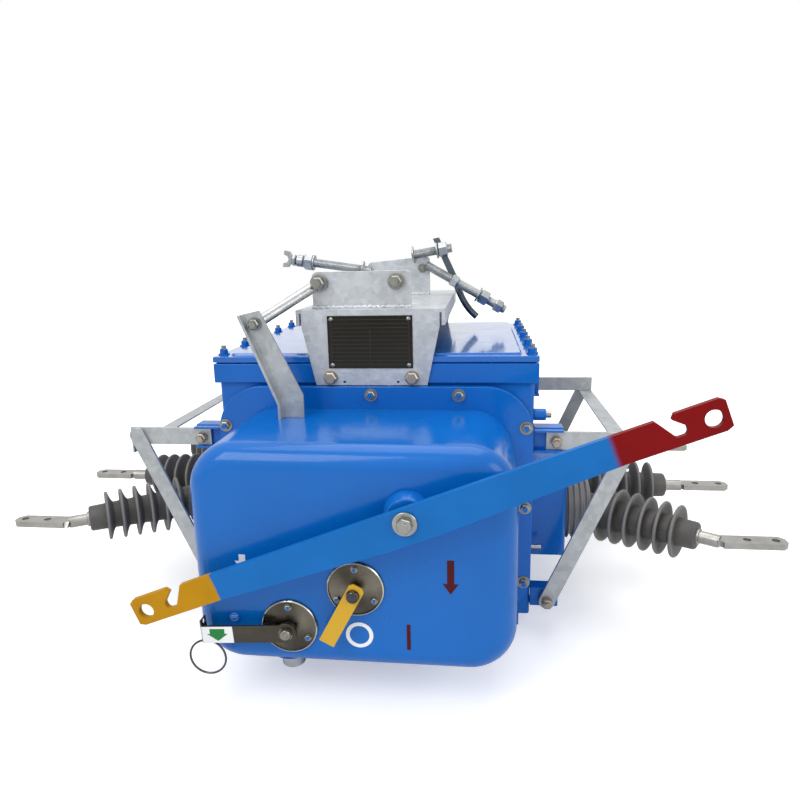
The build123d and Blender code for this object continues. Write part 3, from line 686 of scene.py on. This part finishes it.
class LBS_OT_indicators(bpy.types.Operator):
    """Finish the bearing discs, position pointer, trip handle and pull ring"""

    bl_idname = "lbs.indicators"
    bl_label = "Indicators"

    def execute(self, context):
        edge = context.scene.lbs_sizes.bar_edge
        for node in ("trip_plate", "indicator_plate"):
            low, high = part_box(node)
            dressed(node, turned_stainless(f"turned stainless {node}", (low + high) / 2))
        self.disc_rims()
        yellow = stove_enamel("pointer enamel", context.scene.lbs_finish.pointer, 0.0001)
        dressed("indicator_pointer", yellow, edge)
        strip = bare_metal("rolled stainless strip", "#4E4B44", (0.3, 0.45))
        dressed("trip_handle", strip, edge)
        self.pin_heads(strip)
        low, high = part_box("trip_ring")
        wire = 1.4 * MM
        centre, radius = (low + high) / 2, (high.x - low.x) / 2 - wire
        path = [centre + Vector((cos(t), 0, sin(t))) * radius for t in around(72)]
        ring = form_of(sweep, path, wire, 14, closed=True)
        bright = bare_metal("bright ring wire", "#5B5A58", (0.18, 0.3))
        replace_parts(built("pull_ring", ring, "trip_ring", bright), "trip_ring")
        return {"FINISHED"}

    def disc_rims(self):
        """Broken edges of the two bearing discs: a real chamfer ring, coloured far lighter than the
        discs as a painted highlight.
        """
        form = bmesh.new()
        for node in ("trip_plate", "indicator_plate"):
            low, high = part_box(node)
            centre, radius = (low + high) / 2, (high.x - low.x) / 2 / MM
            centre.y = DISC_Y * MM
            edge = [(-0.4, -1.5), (0.5, -1.5), (0.5, -1.1), (-0.4, -0.05)]
            lathe(form, in_mm((a, radius + r) for a, r in edge), centre, FRONT, 72, ring=True)
        # The pale colour is a painted highlight along the disc edges
        bright = bare_metal("disc edges with painted highlight", "#C9C6BE", (0.12, 0.22))
        built("disc_rims", form, "switch", bright)

    def pin_heads(self, strip):
        """Heads of the two pins: a blackened one on the pointer, a stainless one on the handle."""
        black = bare_metal("blackened steel pin head", "#4A4B4E", (0.05, 0.1))
        bright = bare_metal("turned steel pin head", "#8C877E", (0.12, 0.25))
        turns = [pi / 2 * k / 10 for k in range(10)]
        dome = [(0, 0), (0, 8.6), *((0.8 + 5.4 * sin(t), 8.6 * cos(t)) for t in turns), (6.2, 0)]
        stack = [(0, 0), (0, 9), (1.4, 9), (1.4, 6.8), (4.2, 6.8), (5, 6.2), (5.2, 4), (6.2, 3.4)]
        for name, (x, z), material, profile in (
            ("pointer_pin_head", POINTER_PIVOT, black, dome),
            ("handle_pin_head", TRIP_PIVOT, bright, [*stack, (6.2, 0)]),
        ):
            head = form_of(lathe, in_mm(profile), mm(x, PIN_Y, z), FRONT, 40)
            built(name, head, "switch", material)
        x, z = TRIP_PIVOT
        eye = in_mm([(0, 6.2), (0, 13.2), (0.25, 13.4), (0.45, 13.2), (0.45, 6.2)])
        eye = form_of(lathe, eye, mm(x, HANDLE_Y, z), FRONT, 40, ring=True)
        built("handle_eye", eye, "trip_handle", strip)


class LBS_OT_bushings(bpy.types.Operator):
    """Build the moulded bushings with their sheds and ribbed root collars"""

    bl_idname = "lbs.bushings"
    bl_label = "Bushings"

    def execute(self, context):
        sizes = context.scene.lbs_sizes
        rubber = moulded_silicone("grey moulded silicone", context.scene.lbs_finish.silicone)
        sheds, collars = bmesh.new(), bmesh.new()
        for side, phase in BUSHINGS:
            elbow, along = phase_axis(side, phase)
            lathe(sheds, self.sheds(sizes, FIRST_SHED[abs(phase)]), elbow, along, 72)
            lathe(collars, self.collar(sizes), elbow, (side, 0, 0), 72)
        for form, name, node in (
            (sheds, "silicone_sheds", "bushings"),
            (collars, "silicone_collars", "bushing_collars"),
        ):
            piece = built(name, form, "switch", rubber, angle=50)
            self.paint_core_shade_and_rim_light(piece.data, node == "bushings")
            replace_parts(piece, node)
        return {"FINISHED"}

    def paint_core_shade_and_rim_light(self, mesh, splayed):
        """Stores a shade factor per vertex from how far it stands out from its bushing's core:
        painted shade near the core, a painted highlight on the rims.
        """
        layer = mesh.attributes.new("rim", "FLOAT", "POINT")
        for vertex in mesh.vertices:
            reach = []
            for side, phase in BUSHINGS:
                if side * vertex.co.x > 0:
                    elbow, along = phase_axis(side, phase)
                    along = along if splayed else Vector((side, 0, 0))
                    offset = vertex.co - elbow
                    reach.append((offset - along * offset.dot(along)).length)
            out = (min(reach) / MM - CORE_RADII[1]) / (RIM_RADII[0] - CORE_RADII[1])
            # Painted shade of 0.6 at the core between the sheds, rising to a painted highlight of
            # 1.55 at the rims
            layer.data[vertex.index].value = 0.6 + 0.95 * max(0, min(1, out)) ** 2

    def sheds(self, sizes, first):
        """Half profile of the shedded body, from inside the collar to the end of the cap."""
        pitch, half = sizes.shed_pitch / MM, sizes.shed_rim / 2 / MM
        points = [(-6, 0), (-6, 30), (4, 30)]
        for i in range(SHEDS):
            share = i / (SHEDS - 1)
            core, rim = (a + (b - a) * share for a, b in (CORE_RADII, RIM_RADII))
            at = first + i * pitch
            fall = rim - half - core
            # The side towards the tank slopes out to the rim, the other is slightly dished
            for k in (0, 0.2, 0.45, 0.7, 1):
                back = at - SHED_SKIRT + (SHED_SKIRT - half) * k
                points.append((back, core + fall * (0.35 * k + 0.65 * k**2)))
            for k in range(1, 8):
                turn = pi * k / 8
                points.append((at - half * cos(turn), rim - half + half * sin(turn)))
            for k in (0, 0.25, 0.6, 0.85, 1):
                points.append((at + half - 2.4 * sin(pi * k * 0.6), core + fall * (1 - k)))
        end = first + (SHEDS - 1) * pitch + CAP_END
        points += [(end - 22, 21.5), (end - 3, 21), (end - 0.8, 19.6), (end, 17.5), (end, 13)]
        return in_mm(points + [(end - 1.5, 12), (end - 1.5, 0)])

    def collar(self, sizes):
        """Half profile of the root collar with its narrow rounded ribs."""
        start, reach = COLLAR_START - ELBOW_X, COLLAR_END - COLLAR_START
        pitch, height = reach / (COLLAR_RIBS + 0.5), sizes.rib_height / MM
        points = [(start, 0), (start, COLLAR_RADIUS)]
        for i in range(COLLAR_RIBS):
            for k in range(9):
                swell = height * sin(pi * k / 8) ** 0.7
                points.append((start + (i + 0.5 + k / 16) * pitch, COLLAR_RADIUS + swell))
        end = start + reach
        return in_mm(points + [(end - 3, COLLAR_RADIUS), (end - 0.9, 46), (end, 43), (end, 0)])


class LBS_OT_terminals(bpy.types.Operator):
    """Finish the terminal stems and palms"""

    bl_idname = "lbs.terminals"
    bl_label = "Terminals"

    def execute(self, context):
        tin = bare_metal("tinned copper", "#A5A39E", (0.3, 0.48), 150)
        for side, node in ((-1, "terminals_left"), (1, "terminals_right")):
            piece = dressed(node, tin, context.scene.lbs_sizes.bar_edge)
            form = bmesh.new()
            form.from_mesh(piece.data)
            for phase in (-1, 0, 1):
                self.trim(form, side, phase)
            form.to_mesh(piece.data)
            form.free()
        form = bmesh.new()
        profile = [(0, 0), (0, 12.5), (4, 12.5), (4.8, 9.6), (29.5, 9.6), (31, 8.4), (31, 0)]
        for side, phase in BUSHINGS:
            elbow, along = phase_axis(side, phase)
            lathe(form, in_mm(profile), elbow + along * SLEEVE_START[abs(phase)] * MM, along)
        built("terminal_sleeves", form, "switch", tin)
        return {"FINISHED"}

    def trim(self, form, side, phase):
        """Cuts one palm's root back to where the flattened rod ends and rounds its corners."""
        elbow, along = phase_axis(side, phase)
        cut = elbow + along * PALM_BEND[abs(phase)] * MM - Vector((side * PALM_TRIM * MM, 0, 0))
        # The middle phase stays within this distance of the centre line, the others beyond it
        limit = 60 * MM
        near = [v for v in form.verts if (v.co.y * phase > limit if phase else abs(v.co.y) < limit)]
        edges = list({e for v in near for e in v.link_edges})
        faces = list({f for v in near for f in v.link_faces})
        plane = {"plane_co": cut, "plane_no": (side, 0, 0), "clear_inner": True, "dist": 1e-7}
        made = bmesh.ops.bisect_plane(form, geom=near + edges + faces, **plane)["geom_cut"]
        rim = [e for e in made if isinstance(e, bmesh.types.BMEdge)]
        bmesh.ops.contextual_create(form, geom=rim)
        corners = []
        for edge in form.edges:
            low, high = (v.co for v in edge.verts)
            upright = abs(low.y - high.y) < MERGE_GAP
            on_cut = max(abs(low.x - cut.x), abs(high.x - cut.x)) < MERGE_GAP
            if upright and on_cut and abs(low.y - cut.y) < limit:
                corners.append(edge)
        bmesh.ops.bevel(form, geom=corners, offset=PALM_CORNER * MM, segments=3, affect="EDGES")


class LBS_OT_steelwork(bpy.types.Operator):
    """Finish the guard frames, hanger, uprights and brace"""

    bl_idname = "lbs.steelwork"
    bl_label = "Steelwork"

    def execute(self, context):
        finish, edge = context.scene.lbs_finish, context.scene.lbs_sizes.bar_edge
        zinc = galvanised_steel("hot-dip galvanised steel")
        worn = galvanised_steel("weathered galvanised frames", "#B4B8BA")
        for node in ("hanger_carrier", "front_upright", "rear_upright"):
            dressed(node, zinc, edge)
        bars = ("guard_bars_left", "guard_bars_right", "guard_struts_left", "guard_struts_right")
        for node in (*bars, "brace_bar"):
            dressed(node, worn, edge)
        plated = bare_metal("bright zinc plate", "#A6A8A8")
        for node in ("brace_rod", "earth_studs"):
            dressed(node, plated, 0.4 * MM)
        for side in ("left", "right"):
            self.rail(side, worn, edge)
        dressed("nameplate", stove_enamel("black rating plate", finish.plate, 0.00002))
        self.channel_lips(stove_enamel("blue enamel on lug lips", finish.tank))
        self.upright_welds(zinc)
        return {"FINISHED"}

    def rail(self, side, material, edge):
        """Angle rail between the front and rear frames: a top leg and a short outer leg."""
        low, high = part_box(f"guard_rail_{side}")
        wide = (high.x - low.x) / MM
        inner = wide - RAIL_THICK
        outline = [(0, 0), (wide, 0), (wide, -RAIL_LEG), (inner, -RAIL_LEG)]
        outline += [(inner, -RAIL_THICK), (0, -RAIL_THICK)]
        if side == "left":
            outline = [(wide - x, z) for x, z in outline]
        corner = Vector((low.x, high.y, high.z))
        form = form_of(slab, in_mm(outline), corner, high.y - low.y)
        piece = built(f"rail_angle_{side}", form, "switch", material, edge)
        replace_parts(piece, f"guard_rail_{side}")

    def channel_lips(self, enamel):
        """Lips of the upper lugs that hold each bar from above and below."""
        form = bmesh.new()
        near, far = LIP_X
        lip = [(near, 0), (far, 0), (far, LIP_THICK), (near, LIP_THICK)]
        for side in (-1, 1):
            outline = in_mm((side * x, up) for x, up in lip)
            for y in LIP_Y:
                for z in LIP_Z:
                    slab(form, outline, mm(0, y, z), LIP_DEPTH * MM)
        built("lug_lips", form, "switch", enamel, 0.6 * MM)

    def upright_welds(self, zinc):
        """Weld beads along the feet of both uprights, their drops uneven in height and size."""
        beads, step = [], 2.6
        for node in ("front_upright", "rear_upright"):
            low, high = (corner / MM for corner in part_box(node))
            for i in range(int((high.x - low.x) / step)):
                x, z = low.x + step * (i + 0.5), DECK_Z + 1.2 + 0.7 * sin(i * 1.7)
                beads += [((x, y, z), UP, 1 + 0.15 * sin(i * 2.3)) for y in (low.y, high.y)]
        grown(bead_tree(), beads, "upright_welds", "switch", Width=6.5 * MM, Finish=zinc)


class LBS_OT_clamp(bpy.types.Operator):
    """Build the pole clamp's threaded bolts, nuts, washers and jaw"""

    bl_idname = "lbs.clamp"
    bl_label = "Pole clamp"

    def execute(self, context):
        pitch = context.scene.lbs_sizes.thread_pitch
        plated = bare_metal("zinc plated clamp bolts", "#A3A7A9", (0.28, 0.45))
        form = bmesh.new()
        for (x0, z0), (x1, z1) in CLAMP_RODS:
            threaded(form, mm(x0, CLAMP_Y, z0), mm(x1, CLAMP_Y, z1), CLAMP_BOLT * MM, pitch)
        for build, pieces in ((hexagon, CLAMP_NUTS), (washer, CLAMP_DISCS)):
            for rod, along, long, radius in pieces:
                build(form, *self.on_rod(rod, along), long * MM, radius * MM)
        self.jaw(form)
        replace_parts(built("clamp_hardware", form, "switch", plated), "clamp_bolts")
        self.strap()
        return {"FINISHED"}

    def strap(self):
        """Flat strap between the two right bolts and the round hook that hangs from it."""
        dark = bare_metal("weathered clamp hook", "#5F676F", (0.3, 0.45))
        form = form_of(slab, in_mm(STRAP_OUTLINE), mm(0, STRAP_Y, 0), STRAP_THICK * MM)
        start, middle, end = (mm(x, HOOK_Y, z) for x, z in HOOK_CURVE)
        path = []
        for i in range(17):
            k = i / 16
            path.append(start * (1 - k) ** 2 + 2 * middle * k * (1 - k) + end * k**2)
        sweep(form, path, HOOK_RADIUS * MM, 16)
        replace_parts(built("clamp_hook", form, "switch", dark, 0.4 * MM), "clamp_straps")

    def on_rod(self, rod, along):
        """Place and direction at a distance in millimetres along a clamp rod."""
        start, end = (mm(x, CLAMP_Y, z) for x, z in CLAMP_RODS[rod])
        way = (end - start).normalized()
        return start + way * along * MM, way

    def jaw(self, form):
        """Open jaw at the end of the left rod."""
        at, way = self.on_rod(0, 4)
        back, up = -way, Vector((-way.z, 0, way.x))
        outline = [(0, -7), (6, -8), (10, -15), (19, -16), (19, -8), (12, -6), (9, 0)]
        outline += [(x, -y) for x, y in reversed(outline[:-1])]
        thick = 15 * MM
        origin = at - back.cross(up).normalized() * thick / 2
        slab(form, in_mm(outline), origin, thick, back, up)


class LBS_OT_marks(bpy.types.Operator):
    """Paint the marks and arrows, rule the rating plate and set the handle's label"""

    bl_idname = "lbs.marks"
    bl_label = "Marks"

    def execute(self, context):
        finish, sizes = context.scene.lbs_finish, context.scene.lbs_sizes
        white = stove_enamel("white marking paint", finish.open_mark, 0.0001)
        red = stove_enamel("dark red marking paint", finish.closed_mark, 0.0001, 0.0)
        line, film = sizes.mark_line / MM, sizes.paint / MM
        half, inner, outer = line / 2, MARK_RADIUS - line, MARK_RADIUS
        rim = in_mm([(0, inner), (0, outer), (film, outer), (film, inner)])
        ring = form_of(lathe, rim, self.on_hood(OPEN_MARK), FRONT, 64, ring=True)
        bar = in_mm([(-half, -outer), (half, -outer), (half, outer), (-half, outer)])
        bar = form_of(slab, bar, self.on_hood(CLOSED_MARK), film * MM)
        for name, form, (top, *arrow), paint in (
            ("open_mark", ring, OPEN_ARROW, white),
            ("closed_mark", bar, CLOSED_ARROW, red),
        ):
            self.arrow(form, self.on_hood(top), film * MM, *arrow)
            built(name, form, "switch", paint)
        self.plate_lines()
        self.label(white)
        return {"FINISHED"}

    def on_hood(self, place):
        """Point of the hood's front at a place in x and z."""
        x, z = place
        return mm(x, HOOD_Y, z)

    def arrow(self, form, top, film, shaft, width, head, tip, right=RIGHT, up=UP):
        """Adds a flat arrow pointing down from the middle of its top edge, its measures in mm."""
        half = [(width / 2, 0), (width / 2, -shaft), (head / 2, -shaft), (0, -shaft - tip)]
        outline = in_mm([(-x, y) for x, y in half[:-1]] + half[::-1])
        slab(form, outline[::-1], top, film, right, up)

    def plate_lines(self):
        """Pale ruled table on the rating plate."""
        pale = bare_metal("etched plate lines", "#544C3C", (0.4, 0.55))
        corner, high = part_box("nameplate")
        wide, tall, thin, rows = high.x - corner.x, high.z - corner.z, 0.5 * MM, 11
        left, right, bottom, top = 5 * MM, wide - 5 * MM, 6 * MM, tall - 6 * MM
        levels = [bottom + (top - bottom) * i / rows for i in range(rows + 1)]
        strokes = [(left, right, z, z + thin) for z in levels]
        for x, end in ((left, top), (wide / 2, top - 14 * MM), (right - thin, top)):
            strokes.append((x, x + thin, bottom, end))
        form = bmesh.new()
        for x0, x1, z0, z1 in strokes:
            slab(form, [(x0, z0), (x1, z0), (x1, z1), (x0, z1)], corner, 0.1 * MM)
        built("plate_ruling", form, "switch", pale)

    def label(self, white):
        """White label with a green arrow near the outer end of the trip handle."""
        green = stove_enamel("green label ink", linear("#12803A"), 0.0001)
        droop, (x, z), thick = radians(TRIP_DROOP), TRIP_PIVOT, 0.4 * MM
        right, up = Vector((cos(droop), 0, sin(droop))), Vector((-sin(droop), 0, cos(droop)))
        pivot = mm(x, HANDLE_Y, z)
        card = in_mm([(-113, -12.5), (-71, -12.5), (-71, 10.5), (-113, 10.5)])
        card = form_of(slab, card, pivot, thick, right, up)
        built("handle_label", card, "trip_handle", white)
        top = pivot + right * -92 * MM + up * 7.5 * MM + Vector(FRONT) * thick
        ink = form_of(self.arrow, top, 0.15 * MM, 7, 20, 28, 10, right, up)
        built("label_arrow", ink, "trip_handle", green)


class LBS_OT_fasteners(bpy.types.Operator):
    """Set the cover nuts, lid bolts, frame bolts, screws and rivets"""

    bl_idname = "lbs.fasteners"
    bl_label = "Fasteners"

    def execute(self, context):
        nut, tank = context.scene.lbs_sizes.nut_width / MM, context.scene.lbs_finish.tank
        plated = bare_metal("zinc plated fasteners", "#92938D", (0.25, 0.4))
        enamel = stove_enamel("blue enamel on studs", tank, 0.0001)
        glossy = stove_enamel("blue enamel on the cap screw", tank, 0.0001, 1.0)
        dull = bare_metal("dull stainless bolts", "#A59C92", (0.3, 0.45))
        hexagons, domes = hex_tree(), dome_tree()
        # Finish of the head and of the stud's end, then width, height, washer and stud in mm
        for name, grids, head, end, *measures in (
            ("cover_nuts", COVER_NUTS, plated, enamel, nut, 6, 20, 3),
            ("disc_screws", self.disc_screws(), plated, enamel, 8.5, 3.2, 9.5, 1),
            ("lid_bolts", LID_BOLTS, enamel, plated, 14, 8, 18, 5),
            ("guard_bolts", GUARD_BOLTS, dull, dull, 17, 9, 18, 3),
            ("hanger_bolt_heads", HANGER_BOLTS, dull, dull, 20, 8, 22, 0.4),
            ("upright_bolts", UPRIGHT_BOLTS, plated, plated, 20, 10, 25, 4),
        ):
            inputs = dict(zip(("Width", "Height", "Washer", "Stud"), (m * MM for m in measures)))
            inputs |= {"Finish": head, "End finish": end}
            piece = grown(hexagons, self.places(grids), name, "switch", **inputs)
            if name == "hanger_bolt_heads":
                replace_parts(piece, "hanger_bolts")
        for name, grids, head, width, height in (
            ("plate_rivets", PLATE_RIVETS, plated, 7, 2.4),
            ("hood_cap_screw", CAP_SCREW, glossy, 14, 7),
        ):
            inputs = {"Width": width * MM, "Height": height * MM, "Finish": head}
            grown(domes, self.places(grids), name, "switch", **inputs)
        return {"FINISHED"}

    def places(self, grids):
        """Point, direction and size of every fastener in the grids."""
        return [((x, y, z), way, size) for xs, y, zs, way, size in grids for x in xs for z in zs]

    def disc_screws(self):
        """One grid for each screw of the bearing discs, from the top round each disc."""
        turns = [radians(90) + t for t in around(DISC_SCREWS)]
        reach = [(DISC_SCREW_RADIUS * cos(t), DISC_SCREW_RADIUS * sin(t)) for t in turns]
        pivots = (TRIP_PIVOT, POINTER_PIVOT)
        return [((x + a,), DISC_Y, (z + b,), FRONT, 1) for x, z in pivots for a, b in reach]


class LBS_OT_stage(bpy.types.Operator):
    """Set the pale floor, soft lights, white surroundings and the camera"""

    bl_idname = "lbs.stage"
    bl_label = "Stage"

    def execute(self, context):
        scene = context.scene
        scene.view_settings.view_transform = "Standard"
        self.floor()
        self.world(scene)
        for name, (place, size, power) in LIGHTS.items():
            lamp = bpy.data.lights.new(name, "AREA")
            lamp.size, lamp.energy = size, power
            light = bpy.data.objects.new(name, lamp)
            light.location = place
            aim = Vector(LIGHTS_AIM) - Vector(place)
            light.rotation_euler = aim.to_track_quat("-Z", "Y").to_euler()
            context.collection.objects.link(light)
        self.camera(scene)
        return {"FINISHED"}

    def floor(self):
        """Wide pale floor under the part."""
        made = Finish("matte white floor paper")
        tree, paper = made.tree, made.shader
        feed(tree, paper, {"Base Color": (*linear("#F4F4F4"), 1), "Roughness": 0.9})
        # The paper curves up out of the light, so it whitens with distance and shows no horizon
        far = add_node(tree, "ShaderNodeVectorMath", {0: made.place}, operation="LENGTH")
        glow = ranged(tree, far.outputs["Value"], 0.42, 1.0, 0.7, 2.2)
        glow = add_node(tree, "ShaderNodeEmission", {"Color": WHITE, "Strength": glow})
        both = add_node(tree, "ShaderNodeAddShader", {0: paper.outputs[0], 1: glow.outputs[0]})
        seen = add_node(tree, "ShaderNodeLightPath").outputs["Is Camera Ray"]
        inputs = {0: seen, 1: paper.outputs[0], 2: both.outputs[0]}
        mix = add_node(tree, "ShaderNodeMixShader", inputs)
        feed(tree, made.output, {"Surface": mix.outputs[0]})
        rim = [(FLOOR_RADIUS * cos(t), FLOOR_RADIUS * sin(t), 0) for t in around(FLOOR_SIDES)]
        mesh = bpy.data.meshes.new("floor")
        mesh.from_pydata(rim, [], [list(range(FLOOR_SIDES))])
        mesh.materials.append(made.material)
        floor = bpy.data.objects.new("floor", mesh)
        bpy.context.collection.objects.link(floor)

    def world(self, scene):
        """White surroundings for the camera and reflections, soft grey light for the rest."""
        world = bpy.data.worlds.new("studio")
        scene.world = world
        world.use_nodes = True
        tree = world.node_tree
        tree.nodes.clear()
        soft = add_node(tree, "ShaderNodeBackground", {"Color": WHITE, "Strength": AMBIENT})
        full = add_node(tree, "ShaderNodeBackground", {"Color": WHITE, "Strength": 1.0})
        rays = add_node(tree, "ShaderNodeLightPath").outputs
        sharp = computed(tree, "MAXIMUM", rays["Is Glossy Ray"], rays["Is Transmission Ray"])
        shown = computed(tree, "MAXIMUM", rays["Is Camera Ray"], sharp)
        inputs = {0: shown, 1: soft.outputs[0], 2: full.outputs[0]}
        mix = add_node(tree, "ShaderNodeMixShader", inputs)
        add_node(tree, "ShaderNodeOutputWorld", {"Surface": mix.outputs[0]})

    def camera(self, scene):
        """Camera solved from the photograph."""
        a, b, c = (radians(v) for v in (CAMERA_YAW, CAMERA_PITCH, CAMERA_ROLL))
        ahead = Vector((-sin(a) * cos(b), cos(a) * cos(b), -sin(b)))
        right = Vector((cos(a), sin(a), 0))
        up = right.cross(ahead)
        right, up = right * cos(c) + up * sin(c), up * cos(c) - right * sin(c)
        data = bpy.data.cameras.new("camera")
        data.sensor_width = SENSOR_MM
        data.lens = FOCAL_PIXELS / IMAGE_PIXELS * SENSOR_MM
        camera = bpy.data.objects.new("camera", data)
        turn = Matrix((right, up, -ahead)).transposed()
        camera.matrix_world = Matrix.Translation(mm(*CAMERA_AT)) @ turn.to_4x4()
        scene.collection.objects.link(camera)
        scene.camera = camera


class LBS_PT_panel(bpy.types.Panel):
    """Lists the pieces in the sidebar"""

    bl_idname = "LBS_PT_panel"
    bl_label = "Load Break Switch"
    bl_space_type = "VIEW_3D"
    bl_region_type = "UI"
    bl_category = "Load Break Switch"

    def draw(self, context):
        for settings in (context.scene.lbs_finish, context.scene.lbs_sizes):
            box = self.layout.box()
            for name in settings.__annotations__:
                box.prop(settings, name)
        for operator in OPERATORS:
            self.layout.operator(operator.bl_idname)


OPERATORS = (
    LBS_OT_enclosure,
    LBS_OT_lever,
    LBS_OT_indicators,
    LBS_OT_bushings,
    LBS_OT_terminals,
    LBS_OT_steelwork,
    LBS_OT_clamp,
    LBS_OT_marks,
    LBS_OT_fasteners,
    LBS_OT_stage,
)
CLASSES = (SwitchFinish, SwitchSizes, *OPERATORS, LBS_PT_panel)


def register():
    for item in CLASSES:
        bpy.utils.register_class(item)
    bpy.types.Scene.lbs_finish = bpy.props.PointerProperty(type=SwitchFinish)
    bpy.types.Scene.lbs_sizes = bpy.props.PointerProperty(type=SwitchSizes)


def unregister():
    del bpy.types.Scene.lbs_sizes
    del bpy.types.Scene.lbs_finish
    for item in reversed(CLASSES):
        bpy.utils.unregister_class(item)


def main():
    """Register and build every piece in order."""
    register()
    for operator in OPERATORS:
        group, name = operator.bl_idname.split(".")
        getattr(getattr(bpy.ops, group), name)()


if __name__ == "__main__":
    main()
